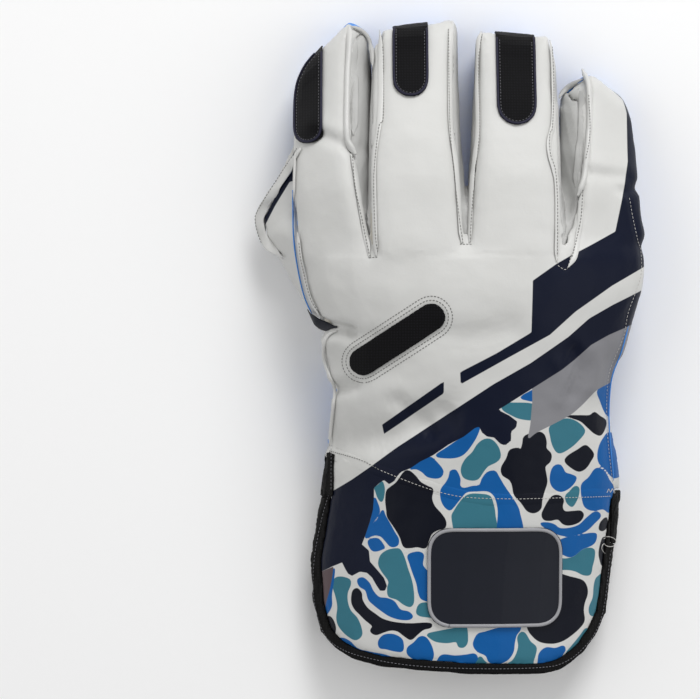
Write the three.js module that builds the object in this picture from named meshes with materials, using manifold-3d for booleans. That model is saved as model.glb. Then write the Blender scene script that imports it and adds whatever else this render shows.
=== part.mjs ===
// Wicketkeeping glove for the right hand, lying palm down.
// Millimetres. +X to the little finger, +Y to the fingertips, +Z up from the surface that it rests on.
import * as THREE from 'three';
import { mergeVertices } from 'three/addons/utils/BufferGeometryUtils.js';
import Module from 'manifold-3d';

const wasm = await Module();
wasm.setup();

// Overall sizes
const gloveLength = 330;
const handWidth = 173;
const backHeight = 72;

// Walls
const backWall = 4;
const palmWall = 3;
const fingerWall = 3;
const webLayer = 1.8;

// Trims and patches
const bindingWidth = 5;
const bindingOverlap = 0.8;
const hemWidth = 4.5;
const patchThickness = 1.2;
const tapeWidth = 5;
const clearance = 0.3;

// Patches, inlay and tapes: their sizes, and their places in shares of the hand's width and the glove's
// length. A fingertip patch's length counts from the tip of its finger.
const tipPatch = {
  index: { width: 15, length: 60, acrossShare: -0.408 },
  middle: { width: 18, length: 40, acrossShare: -0.110 },
  ring: { width: 20, length: 49, acrossShare: 0.196 },
};
const inlay = { acrossShare: -0.150, alongShare: 0.512, length: 54, width: 14, corner: 6.9, angle: 33 };
const cuffPatch = { acrossShare: 0.134, alongShare: 0.152, length: 68, width: 50, corner: 11, angle: 0 };
const tapes = {
  side_tape_left: { acrossShare: -0.366, topShare: 0.338, length: 21, side: -1 },
  side_tape_right: { acrossShare: 0.511, topShare: 0.278, length: 26, side: 1 },
};

// Fineness of the lofts
const handSides = 24;
const handHollowSides = 16;
const digitSides = 16;
const digitHollowSides = 8;
const tipSteps = 3;
const cornerSteps = 6;
const splitSteps = 10;
const reach = 3 * handWidth;

// Roundness of the sections: how square their corners are, and how flat the back's arch is
const squareness = { top: 4, bottom: 2.8, hollow: 8 };
const archExponent = 2.4;
const hollowStepShare = 0.005;
const leastHollowShare = 0.5;

// Rounded tips: where they shrink to, how full they are and how much of the round is left off
const tipCentreShare = -0.1;
const tipFullnessExponent = 0.65;
const tipCutShare = 0.35;

// Across how much of a finger, from its tip down, the slant of the tip fades out
const slantFadeShare = 0.55;

// Heights of the seam at the fingertips, at the tips' walls and on the thumb, from 1 at the top of a
// section to -1 at its bottom
const seamShares = { tip: 0.05, wall: -0.05, thumb: 0.05 };

// How far past its sections a panel's space goes: sideways from their middle, and up
const spaceShares = {
  top: { side: 1.04, high: 1.6 },
  wall: { from: 0.1, to: 1.2, high: 1.6 },
  thumb: { from: -1.4, to: 1.1, high: 1.6 },
};

const acrossHand = (share) => share * handWidth;
const alongGlove = (share) => (share - 0.5) * gloveLength;
const overFloor = (share) => share * backHeight;

// Hand and cuff, a row per section from the cuff's end to the knuckles. Lengths along are shares of the
// glove's length from the cuff's end, lengths across are shares of the hand's width from the middle
// finger's right seam, and heights are shares of the back's height.
const handColumns = ['along', 'left', 'right', 'edgeLeft', 'edgeRight', 'rise', 'drop', 'crown', 'belly'];
const handRows = [
  [-0.030, -0.393, 0.462, 0.097, 0.097, 0.560, 0.125, 0.70, 0.22],
  [0.045, -0.399, 0.468, 0.097, 0.097, 0.570, 0.125, 0.70, 0.22],
  [0.109, -0.407, 0.482, 0.097, 0.097, 0.590, 0.125, 0.70, 0.22],
  [0.176, -0.405, 0.494, 0.100, 0.100, 0.610, 0.125, 0.68, 0.24],
  [0.227, -0.391, 0.506, 0.120, 0.115, 0.620, 0.130, 0.66, 0.28],
  [0.279, -0.374, 0.512, 0.165, 0.155, 0.600, 0.130, 0.62, 0.34],
  [0.324, -0.363, 0.508, 0.215, 0.200, 0.590, 0.120, 0.60, 0.40],
  [0.364, -0.358, 0.491, 0.260, 0.245, 0.580, 0.110, 0.58, 0.45],
  [0.412, -0.346, 0.478, 0.305, 0.290, 0.570, 0.085, 0.56, 0.50],
  [0.470, -0.344, 0.494, 0.360, 0.345, 0.560, 0.055, 0.55, 0.50],
  [0.530, -0.372, 0.523, 0.430, 0.400, 0.550, 0.030, 0.54, 0.50],
  [0.588, -0.413, 0.556, 0.470, 0.430, 0.545, 0.014, 0.54, 0.50],
  [0.634, -0.424, 0.566, 0.490, 0.430, 0.525, 0.010, 0.54, 0.50],
  [0.664, -0.408, 0.548, 0.490, 0.430, 0.440, -0.010, 0.54, 0.50],
  [0.742, -0.395, 0.516, 0.460, 0.400, 0.110, -0.030, 0.54, 0.50],
];
const knuckleRow = 12;

// Fingers, a row per section from inside the hand to where the rounded tip starts. Each section is a
// rounded quadrilateral: its top corners over its bottom corners, in the same shares as the hand. Seam is
// the height of the seam of the back panel on a wall that faces another finger, from 1 at the top of the
// section to -1 at its bottom, and sole is that of the palm's seam. Slant is how far the tip is cut back
// for each millimetre across the finger, from its right side, or with a minus from its left side.
const fingerColumns = [
  'along', 'topLeft', 'leftHeight', 'topRight', 'rightHeight', 'lowLeft', 'lowRight', 'floor', 'seam', 'sole',
];
const fingers = {
  index: {
    tipShare: 0.042,
    slant: 0.75,
    walls: { left: false, right: true },
    rows: [
      [0.530, -0.340, 0.50, -0.200, 0.72, -0.335, -0.208, 0.47, 0.50, -0.45],
      [0.591, -0.395, 0.56, -0.208, 0.85, -0.389, -0.200, 0.47, 0.55, -0.45],
      [0.636, -0.440, 0.62, -0.212, 0.94, -0.416, -0.203, 0.43, 0.62, -0.45],
      [0.742, -0.455, 0.61, -0.264, 0.93, -0.430, -0.219, 0.35, 0.66, -0.45],
      [0.803, -0.457, 0.55, -0.283, 0.86, -0.432, -0.221, 0.27, 0.66, -0.45],
      [0.870, -0.459, 0.46, -0.286, 0.75, -0.430, -0.224, 0.15, 0.66, -0.45],
      [0.924, -0.457, 0.36, -0.287, 0.63, -0.424, -0.227, 0.02, 0.60, -0.40],
      [0.949, -0.452, 0.32, -0.289, 0.57, -0.418, -0.230, -0.02, 0.50, -0.30],
    ],
  },
  middle: {
    tipShare: 0.039,
    slant: 0.10,
    walls: { left: true, right: true },
    rows: [
      [0.530, -0.200, 0.76, 0.023, 0.80, -0.197, 0.035, 0.47, 0.50, -0.45],
      [0.591, -0.217, 0.88, 0.043, 0.92, -0.214, 0.050, 0.48, 0.55, -0.45],
      [0.645, -0.229, 0.98, 0.050, 0.99, -0.219, 0.056, 0.44, 0.62, -0.45],
      [0.758, -0.230, 0.94, 0.034, 0.94, -0.212, 0.048, 0.36, 0.66, -0.45],
      [0.818, -0.229, 0.87, 0.026, 0.86, -0.211, 0.047, 0.27, 0.66, -0.45],
      [0.879, -0.224, 0.76, 0.023, 0.75, -0.208, 0.045, 0.14, 0.66, -0.45],
      [0.933, -0.219, 0.63, 0.023, 0.62, -0.203, 0.043, 0.02, 0.60, -0.40],
      [0.961, -0.216, 0.56, 0.025, 0.55, -0.200, 0.041, -0.02, 0.50, -0.30],
    ],
  },
  ring: {
    tipShare: 0.036,
    slant: -0.08,
    walls: { left: true, right: true },
    rows: [
      [0.530, 0.040, 0.81, 0.289, 0.75, 0.046, 0.289, 0.47, 0.50, -0.45],
      [0.591, 0.044, 0.93, 0.324, 0.86, 0.050, 0.315, 0.47, 0.55, -0.45],
      [0.645, 0.045, 0.99, 0.334, 0.94, 0.052, 0.321, 0.43, 0.62, -0.45],
      [0.758, 0.057, 0.93, 0.323, 0.88, 0.064, 0.310, 0.34, 0.66, -0.45],
      [0.818, 0.062, 0.85, 0.320, 0.79, 0.067, 0.310, 0.25, 0.66, -0.45],
      [0.879, 0.070, 0.73, 0.320, 0.68, 0.073, 0.308, 0.12, 0.66, -0.45],
      [0.924, 0.076, 0.61, 0.319, 0.57, 0.078, 0.304, 0.01, 0.60, -0.40],
      [0.948, 0.079, 0.55, 0.316, 0.52, 0.082, 0.299, -0.02, 0.50, -0.30],
    ],
  },
  little: {
    tipShare: 0.044,
    slant: -0.80,
    walls: { left: true, right: false },
    rows: [
      [0.530, 0.301, 0.70, 0.470, 0.47, 0.301, 0.460, 0.43, 0.50, -0.45],
      [0.585, 0.322, 0.81, 0.520, 0.50, 0.322, 0.505, 0.43, 0.55, -0.45],
      [0.627, 0.330, 0.89, 0.560, 0.53, 0.324, 0.530, 0.37, 0.62, -0.45],
      [0.736, 0.373, 0.83, 0.560, 0.50, 0.327, 0.524, 0.27, 0.66, -0.45],
      [0.791, 0.389, 0.75, 0.554, 0.44, 0.325, 0.520, 0.18, 0.66, -0.45],
      [0.846, 0.400, 0.63, 0.551, 0.34, 0.326, 0.514, 0.05, 0.60, -0.40],
      [0.886, 0.408, 0.53, 0.543, 0.27, 0.329, 0.506, -0.02, 0.50, -0.30],
    ],
  },
};

// Thumb, a row per section from inside the hand to where the rounded tip starts. Width is across the back
// of the thumb, depth from its back to its front.
const thumbColumns = ['along', 'centre', 'height', 'width', 'depth'];
const thumbRows = [
  [0.345, -0.165, 0.38, 0.190, 0.190],
  [0.410, -0.173, 0.36, 0.235, 0.215],
  [0.470, -0.200, 0.33, 0.242, 0.215],
  [0.529, -0.245, 0.31, 0.238, 0.208],
  [0.603, -0.357, 0.245, 0.203, 0.172],
  [0.639, -0.394, 0.24, 0.195, 0.168],
  [0.673, -0.440, 0.235, 0.188, 0.162],
];
const thumbTipShare = 0.040;
const thumbRollAngle = 60;

// Web between thumb and index finger, a row per section: its root on the finger and its free edge.
const webColumns = ['along', 'root', 'rootHeight', 'edge', 'edgeHeight'];
const webRows = [
  [0.640, -0.400, 0.46, -0.500, 0.26],
  [0.673, -0.405, 0.45, -0.543, 0.16],
  [0.698, -0.408, 0.44, -0.557, 0.16],
  [0.722, -0.410, 0.42, -0.533, 0.21],
  [0.750, -0.412, 0.40, -0.507, 0.26],
  [0.780, -0.414, 0.37, -0.479, 0.30],
  [0.808, -0.415, 0.34, -0.452, 0.33],
];

// Cuff outline in plan from the left end of the wrist seam round to its right end.
const cuffColumns = ['across', 'along'];
const cuffRows = [
  [-0.363, 0.370], [-0.367, 0.300], [-0.387, 0.227], [-0.403, 0.176], [-0.396, 0.109], [-0.372, 0.061],
  [-0.328, 0.036], [-0.280, 0.022], [-0.202, 0.012], [0.064, 0.002], [0.277, 0.000], [0.330, 0.006],
  [0.395, 0.029], [0.439, 0.058], [0.469, 0.091], [0.489, 0.176], [0.510, 0.260], [0.510, 0.370],
];

// Wrist seam in plan between the back of the hand and its cuff, left to right.
const wristRows = [
  [-0.60, 0.350], [-0.341, 0.339], [-0.156, 0.306], [0.064, 0.273], [0.191, 0.270], [0.445, 0.278],
  [0.70, 0.278],
];

// Ends of the straight seams across the hand, and the palm's wrist seam and the fingers' roots along it
const seamEndShares = [-0.6, 0.7];
const palmWristShare = 0.282;
const fingerRootsShare = 0.640;

const named = (columns, rows) => rows.map(
  (row) => Object.fromEntries(columns.map((column, k) => [column, row[k]])),
);

function solidOf(positions, indices) {
  let volume = 0;
  const corner = (k) => new THREE.Vector3().fromArray(positions, 3 * indices[k]);
  for (let k = 0; k < indices.length; k += 3) {
    volume += corner(k).dot(corner(k + 1).cross(corner(k + 2)));
  }
  const outward = volume > 0 ? indices : indices.toReversed();
  return new wasm.Manifold(new wasm.Mesh({
    numProp: 3,
    vertProperties: new Float32Array(positions),
    triVerts: new Uint32Array(outward),
  }));
}

// A closed solid through rings of points, with its first and last ring filled from their centres.
function loft(rings) {
  const sides = rings[0].length;
  const positions = rings.flat().flatMap((point) => point.toArray());
  const indices = [];
  for (let r = 0; r + 1 < rings.length; r += 1) {
    for (let k = 0; k < sides; k += 1) {
      const next = (k + 1) % sides;
      const [a, b] = [r * sides + k, r * sides + next];
      indices.push(a, b, a + sides, b, b + sides, a + sides);
    }
  }
  for (const r of [0, rings.length - 1]) {
    const centre = new THREE.Vector3();
    rings[r].forEach((point) => centre.addScaledVector(point, 1 / sides));
    const hub = positions.length / 3;
    positions.push(...centre.toArray());
    for (let k = 0; k < sides; k += 1) {
      const [a, b] = [r * sides + k, r * sides + (k + 1) % sides];
      indices.push(...(r === 0 ? [hub, b, a] : [hub, a, b]));
    }
  }
  return solidOf(positions, indices);
}

// An upright prism over an outline in plan.
function prism(points) {
  const shape = new THREE.Shape(points);
  const geometry = new THREE.ExtrudeGeometry(shape, { depth: 2 * reach, bevelEnabled: false });
  geometry.translate(0, 0, -reach);
  geometry.deleteAttribute('normal');
  geometry.deleteAttribute('uv');
  const merged = mergeVertices(geometry);
  return solidOf(Array.from(merged.attributes.position.array), Array.from(merged.index.array));
}

const join = (...solids) => solids.reduce((whole, solid) => whole.add(solid));

// Sections of the hand and cuff
const hand = named(handColumns, handRows).map((row) => ({
  y: alongGlove(row.along),
  left: acrossHand(row.left),
  right: acrossHand(row.right),
  edgeLeft: overFloor(row.edgeLeft),
  edgeRight: overFloor(row.edgeRight),
  rise: overFloor(row.rise),
  drop: overFloor(row.drop),
  crown: row.crown,
  belly: row.belly,
}));

function handProfile(row, side) {
  const edge = THREE.MathUtils.lerp(row.edgeLeft, row.edgeRight, (side + 1) / 2);
  const fall = Math.max(0, 1 - Math.abs(side) ** archExponent);
  return {
    x: THREE.MathUtils.lerp(row.left, row.right, (side + 1) / 2),
    edge,
    top: edge + row.rise * fall ** row.crown,
    bottom: edge - row.drop * fall ** row.belly,
  };
}

const rounded = (value, power) => Math.sign(value) * Math.abs(value) ** (2 / power);
const ringAngles = (sides) => Array.from({ length: sides }, (_, k) => (2 * Math.PI * k) / sides);

// The hand's skin, pushed out by grow
function handRing(row, grow) {
  return ringAngles(handSides).map((angle) => {
    const { x, top, bottom } = handProfile(row, Math.cos(angle));
    const z = (Math.sin(angle) >= 0 ? top : bottom) + grow * Math.sin(angle);
    return new THREE.Vector3(x + grow * Math.cos(angle), row.y, z);
  });
}

// The hollow of the hand: its skin less the walls, as far out as both walls leave room
function hollowRing(row, lessen) {
  const roof = backWall + lessen;
  const ground = palmWall + lessen;
  const room = (side) => {
    const { top, bottom } = handProfile(row, side);
    return top - roof - Math.max(bottom, 0) - ground;
  };
  let limit = 1;
  while (limit > leastHollowShare && Math.min(room(limit), room(-limit)) < backWall) {
    limit -= hollowStepShare;
  }
  const halfStep = Math.PI / handHollowSides;
  return ringAngles(handHollowSides).map((angle) => {
    const turn = angle + halfStep;
    const { x, top, bottom } = handProfile(row, (limit * Math.cos(turn)) / Math.cos(halfStep));
    const high = top - roof;
    const low = Math.max(bottom, 0) + ground;
    const lift = rounded(Math.sin(turn), squareness.hollow);
    return new THREE.Vector3(x, row.y, THREE.MathUtils.lerp(low, high, (lift + 1) / 2));
  });
}

const handSolid = (grow = 0) => loft(hand.map((row) => handRing(row, grow)));
const handHollow = (lessen = 0) => loft(
  hand.slice(0, knuckleRow + 1).map((row) => hollowRing(row, lessen)),
);

// Sections of the digits: a quadrilateral with its corners rounded
const spot = (x, z) => new THREE.Vector2(x, z);

function fingerSections({ rows, slant }) {
  const [first, last] = [rows[0][0], rows.at(-1)[0]];
  const pivot = slant > 0 ? 'topRight' : 'topLeft';
  return named(fingerColumns, rows).map((row) => ({
    y: alongGlove(row.along),
    slant: slant * THREE.MathUtils.smoothstep(row.along, last - slantFadeShare * (last - first), last),
    pivot: acrossHand(row[pivot]),
    topLeft: spot(acrossHand(row.topLeft), overFloor(row.leftHeight)),
    topRight: spot(acrossHand(row.topRight), overFloor(row.rightHeight)),
    lowLeft: spot(acrossHand(row.lowLeft), overFloor(row.floor)),
    lowRight: spot(acrossHand(row.lowRight), overFloor(row.floor)),
    seam: row.seam,
    sole: row.sole,
  }));
}

function thumbSections() {
  const roll = THREE.MathUtils.degToRad(thumbRollAngle);
  return named(thumbColumns, thumbRows).map((row) => {
    const centre = spot(acrossHand(row.centre), overFloor(row.height));
    const across = spot(Math.cos(roll), Math.sin(roll)).multiplyScalar(acrossHand(row.width) / 2);
    const out = spot(-Math.sin(roll), Math.cos(roll)).multiplyScalar(acrossHand(row.depth) / 2);
    return {
      y: alongGlove(row.along),
      slant: 0,
      pivot: 0,
      topLeft: centre.clone().sub(across).add(out),
      topRight: centre.clone().add(across).add(out),
      lowLeft: centre.clone().sub(across).sub(out),
      lowRight: centre.clone().add(across).sub(out),
    };
  });
}

// A point of a section: u runs from -1 at its left side to 1 at its right, v from its bottom to its top
function inSection(section, u, v) {
  const top = section.topLeft.clone().lerp(section.topRight, (u + 1) / 2);
  const low = section.lowLeft.clone().lerp(section.lowRight, (u + 1) / 2);
  return low.lerp(top, (v + 1) / 2);
}

// A point of a section in space, from its place across and its height
const inSpace = ({ y, slant, pivot }, { x, y: height }) => new THREE.Vector3(
  x,
  y + slant * (x - pivot),
  height,
);

function digitRing(section, inset, sides) {
  const flat = ringAngles(sides).map((angle) => {
    const power = Math.sin(angle) >= 0 ? squareness.top : squareness.bottom;
    return inSection(section, rounded(Math.cos(angle), power), rounded(Math.sin(angle), power));
  });
  return flat.map((point, k) => {
    const along = flat[(k + 1) % sides].clone().sub(flat.at(k - 1)).normalize();
    return spot(point.x - along.y * inset, point.y + along.x * inset);
  });
}

// A digit's skin, or its hollow with an inset over zero, ending in a rounded tip
function digit(sections, tipLength, inset) {
  const sides = inset > 0 ? digitHollowSides : digitSides;
  const lowest = inset > 0 ? inset : -reach;
  const upright = (section, flat) => flat.map(
    (point) => inSpace(section, spot(point.x, Math.max(point.y, lowest))),
  );
  const rings = sections.map((section) => upright(section, digitRing(section, inset, sides)));
  const last = sections.at(-1);
  const end = digitRing(last, inset, sides);
  const centre = inSection(last, 0, tipCentreShare);
  for (let k = 1; k <= tipSteps; k += 1) {
    const turn = (Math.PI / 2) * (k / (tipSteps + tipCutShare));
    const shrunk = end.map((point) => centre.clone().lerp(point, Math.cos(turn) ** tipFullnessExponent));
    rings.push(upright({ ...last, y: last.y + (tipLength - inset) * Math.sin(turn) }, shrunk));
  }
  return loft(rings);
}

// The space round a digit between two heights and two sides of its sections, which its last section can
// carry on past the tip
function band(sections, { from, to, low, high, grow, end = [] }) {
  const carriedOn = end.map((step) => ({ ...sections.at(-1), ...step }));
  return loft([...sections, ...carriedOn].map((section) => {
    const { topLeft, topRight, lowLeft, lowRight } = section;
    const dv = (4 * grow) / (topLeft.distanceTo(lowLeft) + topRight.distanceTo(lowRight));
    const du = (2 * grow) / topLeft.distanceTo(topRight);
    const [lowAtLeft, lowAtRight] = low(section);
    return [
      inSection(section, from - du, lowAtLeft - dv),
      inSection(section, to + du, lowAtRight - dv),
      inSection(section, to + du, high + dv),
      inSection(section, from - du, high + dv),
    ].map((point) => inSpace(section, point));
  }));
}

// Plan regions
const slab = (fromX, toX, fromY, toY) => prism([
  spot(fromX, fromY), spot(toX, fromY), spot(toX, toY), spot(fromX, toY),
]);
const planPoint = ([across, along]) => spot(acrossHand(across), alongGlove(along));
const overSurface = slab(-reach, reach, -reach, reach).translate([0, 0, reach]);

// On the fingers' side of a line across the glove, which shift moves towards the fingers
function beyond(rows, shift) {
  const line = rows.map(planPoint).map((point) => spot(point.x, point.y + shift));
  return prism([...line, spot(reach, reach), spot(-reach, reach)]);
}

// A rounded rectangle in plan round a place, turned by an angle in degrees
function roundedPlate({ acrossShare, alongShare, length, width, corner, angle }) {
  const turn = THREE.MathUtils.degToRad(angle);
  const [halfLength, halfWidth] = [length / 2 - corner, width / 2 - corner];
  const points = [];
  for (const [quarter, [sx, sy]] of [[1, 1], [-1, 1], [-1, -1], [1, -1]].entries()) {
    for (let step = 0; step <= cornerSteps; step += 1) {
      const round = (Math.PI / 2) * (quarter + step / cornerSteps);
      points.push(spot(sx * halfLength + corner * Math.cos(round), sy * halfWidth + corner * Math.sin(round)));
    }
  }
  const place = planPoint([acrossShare, alongShare]);
  return prism(points.map((point) => point.rotateAround(spot(0, 0), turn).add(place)));
}

// The cuff's outline in plan, drawn in by inset
function cuffOutline(inset) {
  const line = cuffRows.map(planPoint);
  const moved = line.map((point, k) => {
    const before = line[Math.max(k - 1, 0)];
    const after = line[Math.min(k + 1, line.length - 1)];
    const way = after.clone().sub(before).normalize();
    return spot(point.x - way.y * inset, point.y + way.x * inset);
  });
  return prism(moved);
}

// Skin, hollow and shell of the whole glove
const thumb = thumbSections();
const thumbTipLength = thumbTipShare * gloveLength;
const sectionsOf = Object.fromEntries(
  Object.entries(fingers).map(([name, finger]) => [name, fingerSections(finger)]),
);
const fingerNames = Object.keys(fingers);
const tipLengthOf = (name) => fingers[name].tipShare * gloveLength;
const fingerSolid = (name, inset) => digit(sectionsOf[name], tipLengthOf(name), inset);
const fingerSolids = (inset) => join(...fingerNames.map((name) => fingerSolid(name, inset)));
const thumbSolid = (inset) => digit(thumb, thumbTipLength, inset);

const rootLine = seamEndShares.map((across) => [across, fingerRootsShare]);

// The index finger past its root, pushed out by grow, whose wall the thumb and the web leave whole
const indexFinger = (grow) => fingerSolid('index', -grow).intersect(beyond(rootLine, 0));
const thumbHollow = thumbSolid(fingerWall).subtract(indexFinger(0));

const skin = join(handSolid(), thumbSolid(0), fingerSolids(0)).intersect(overSurface);
const hollow = join(handHollow(), thumbHollow, fingerSolids(fingerWall));
const shell = skin.subtract(hollow);

// Space over the edges of the hand and cuff, and between them over the middle of the hollow
function aboveEdges(grow) {
  const sides = Array.from({ length: splitSteps + 1 }, (_, k) => (2 * k) / splitSteps - 1);
  return loft(hand.map((row) => [
    spot(row.left - tapeWidth, row.edgeLeft),
    ...sides.map((side) => {
      const { x, top, bottom } = handProfile(row, side);
      return spot(x, (top + bottom) / 2);
    }),
    spot(row.right + tapeWidth, row.edgeRight),
    spot(row.right + tapeWidth, reach),
    spot(row.left - tapeWidth, reach),
  ].map((point) => new THREE.Vector3(point.x, row.y, point.y - grow))));
}

// Space over a finger's seams, down to half height on an outer side and at its tip
function fingerTop(name, grow) {
  const { walls } = fingers[name];
  const sections = sectionsOf[name];
  const tip = tipLengthOf(name);
  return band(sections, {
    from: -spaceShares.top.side,
    to: spaceShares.top.side,
    low: ({ seam, tipSeam }) => {
      const [inner, outer] = [tipSeam ?? seam, tipSeam ?? 0];
      return [walls.left ? inner : outer, walls.right ? inner : outer];
    },
    high: spaceShares.top.high,
    grow,
    end: [
      { y: sections.at(-1).y + tip / 2, tipSeam: seamShares.tip },
      { y: sections.at(-1).y + tip * 2, tipSeam: tipCentreShare },
    ],
  });
}

// Space of the wall of a finger on one side of it
function fingerSide(name, side, grow) {
  const sections = sectionsOf[name].slice(1);
  const { from, to, high } = spaceShares.wall;
  return band(sections, {
    from: side < 0 ? -to : from,
    to: side < 0 ? -from : to,
    low: ({ sole }) => [sole, sole],
    high,
    grow,
    end: [{ y: sections.at(-1).y + tipLengthOf(name) / 2, sole: seamShares.wall }],
  }).intersect(beyond(rootLine, clearance - grow));
}

const palmLine = seamEndShares.map((across) => [across, palmWristShare]);
const halfGap = clearance / 2;

// The thumb where it lies beside the index finger
const thumbBeside = (grow) => thumbSolid(0).intersect(beyond(rootLine, 0)).subtract(indexFinger(grow));

// Space over the edges up to the roots of the fingers and over the seams of the fingers
function upperSpace(grow) {
  const untilRoots = slab(-reach, reach, -reach, alongGlove(fingerRootsShare) + grow);
  return join(aboveEdges(grow).intersect(untilRoots), ...fingerNames.map((name) => fingerTop(name, grow)))
    .subtract(thumbBeside(grow));
}

// Space of the back of the thumb, beside the index finger
const thumbBackSpace = (grow) => band(thumb.slice(2), {
  ...spaceShares.thumb,
  low: () => [seamShares.thumb, seamShares.thumb],
  grow,
  end: [{ y: thumb.at(-1).y + thumbTipLength * 2 }],
}).subtract(indexFinger(clearance - grow));

// The web: two layers of sheet between the index finger and the thumb, and the hem on their edge
const web = named(webColumns, webRows).map((row) => ({
  y: alongGlove(row.along),
  root: spot(acrossHand(row.root), overFloor(row.rootHeight)),
  edge: spot(acrossHand(row.edge), overFloor(row.edgeHeight)),
}));

// A sheet that follows the web from its root, or from a width before its edge, between two depths
function webSheet({ widthLeft = 0, onlyEdge = false, inner, outer, grow = 0 }) {
  return loft(web.map(({ y, root, edge }) => {
    const across = edge.clone().sub(root);
    const length = across.length();
    across.normalize();
    const out = spot(across.y, -across.x);
    const start = onlyEdge ? length - hemWidth : 0;
    const stop = length - widthLeft;
    const place = (along, depth) => {
      const point = root.clone().addScaledVector(across, along).addScaledVector(out, depth);
      return new THREE.Vector3(point.x, y, point.y);
    };
    return [
      place(start - grow, inner - grow),
      place(stop + grow, inner - grow),
      place(stop + grow, outer + grow),
      place(start - grow, outer + grow),
    ];
  }));
}

const neighbours = [['index', 'middle'], ['middle', 'ring'], ['ring', 'little']];
const gussetSpace = ([first, second], grow) => fingerSide(first, 1, grow).add(fingerSide(second, -1, grow));

const everywhere = slab(-reach, reach, -reach, reach);
const behind = (rows) => everywhere.subtract(beyond(rows, -halfGap));

// Space of a tape round the side edge of the cuff, or of all that lies over its lower end
function tapeSpace({ acrossShare, topShare, length, side }, grow, higher = 0) {
  const inward = acrossHand(acrossShare) - side * (tapeWidth + grow);
  const outward = side * reach;
  const high = alongGlove(topShare) - clearance;
  return slab(
    Math.min(inward, outward),
    Math.max(inward, outward),
    high - length - grow,
    high + grow + higher,
  );
}

// Skins a little over the leather, for what lies on it
const offSkin = join(handSolid(clearance), fingerSolids(-clearance));
const offWholeSkin = offSkin.add(thumbSolid(-clearance));
const handLayer = handSolid(clearance + patchThickness).subtract(offWholeSkin);

const offBack = upperSpace(clearance);
const offGussets = join(...neighbours.map((pair) => gussetSpace(pair, clearance)));
const offTapes = join(...Object.values(tapes).map((tape) => tapeSpace(tape, clearance)));
const underTapes = everywhere.subtract(
  join(...Object.values(tapes).map((tape) => tapeSpace(tape, clearance, reach))),
);
const rest = shell.subtract(offBack);
const handPart = rest.intersect(beyond(palmLine, halfGap)).subtract(offGussets);

const hemSpace = (grow) => webSheet({
  onlyEdge: true, inner: -webLayer - clearance - bindingOverlap, outer: webLayer + bindingOverlap, grow,
});
const offHem = hemSpace(clearance);
const webLeather = (grow) => webSheet({ widthLeft: hemWidth, inner: 0, outer: webLayer, grow });
const webRubber = webSheet({ widthLeft: hemWidth, inner: -webLayer - clearance, outer: -clearance });

// Leather of the thumb's back, in one piece with the outer layer of the web
function thumbBack() {
  const web = webLeather(0).subtract(offSkin).subtract(thumbHollow);
  return handPart.intersect(thumbBackSpace(0)).add(web.subtract(offBack)).subtract(offHem);
}

// Rubber of the palm, in one piece with the inner layer of the web
function palm() {
  const offThumbBack = thumbBackSpace(clearance);
  const web = webRubber.subtract(hollow).subtract(offBack).subtract(offThumbBack);
  const offWeb = webLeather(clearance).subtract(indexFinger(0));
  return handPart.subtract(offThumbBack).add(web).subtract(offWeb).subtract(offHem).subtract(offTapes);
}

const webHem = () => hemSpace(0).subtract(offWholeSkin);

// Flaps of the cuff inside their binding
const insideBinding = cuffOutline(bindingWidth + clearance);
const over = aboveEdges(-halfGap);
const under = everywhere.subtract(aboveEdges(halfGap));
const cuffBack = () => shell.intersect(over).intersect(behind(wristRows)).intersect(insideBinding)
  .intersect(underTapes);
const cuffPalm = () => shell.intersect(under).intersect(behind(palmLine)).intersect(insideBinding)
  .intersect(underTapes);

// Binding folded over the edge of a flap
const edgeStrip = handSolid(bindingOverlap).subtract(handHollow(bindingOverlap)).intersect(overSurface)
  .intersect(cuffOutline(0)).subtract(cuffOutline(bindingWidth)).intersect(underTapes);
const backBinding = () => edgeStrip.intersect(over).intersect(behind(wristRows));
const palmBinding = () => edgeStrip.intersect(under).intersect(behind(palmLine));

// Tape folded round a side edge of the cuff
const tapeBody = handSolid(bindingOverlap).subtract(handHollow()).intersect(overSurface);
const sideTape = (tape) => tapeBody.intersect(tapeSpace(tape, 0));

// Mesh patch over the back of a fingertip
function fingertipPatch(name) {
  const { width, length, acrossShare } = tipPatch[name];
  const tip = sectionsOf[name].at(-1).y + tipLengthOf(name);
  const plate = roundedPlate({
    acrossShare,
    alongShare: tip / gloveLength + 0.5,
    length: 2 * length,
    width,
    corner: width / 2 - clearance,
    angle: 90,
  });
  const upper = fingerTop(name, 0);
  return fingerSolid(name, -clearance - patchThickness).subtract(fingerSolid(name, -clearance))
    .intersect(plate).intersect(upper);
}

const shape = (solid) => {
  const mesh = solid.getMesh();
  const geometry = new THREE.BufferGeometry();
  geometry.setAttribute('position', new THREE.BufferAttribute(new Float32Array(mesh.vertProperties), 3));
  geometry.setIndex(new THREE.BufferAttribute(new Uint32Array(mesh.triVerts), 1));
  geometry.computeVertexNormals();
  return geometry;
};

const finishes = {
  leather: { color: 0xdededc, roughness: 0.5 },
  wall: { color: 0xc8c8c8, roughness: 0.6 },
  rubber: { color: 0x3d8fe0, roughness: 0.65 },
  print: { color: 0x24406e, roughness: 0.5 },
  binding: { color: 0x151313, roughness: 0.75 },
  netting: { color: 0x1b1b22, roughness: 0.8 },
};

const glove = new THREE.Group();
function addPiece(name, solid, finish) {
  const material = new THREE.MeshStandardMaterial({ ...finishes[finish], metalness: 0 });
  const mesh = new THREE.Mesh(shape(solid), material);
  mesh.name = name;
  glove.add(mesh);
}

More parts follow.
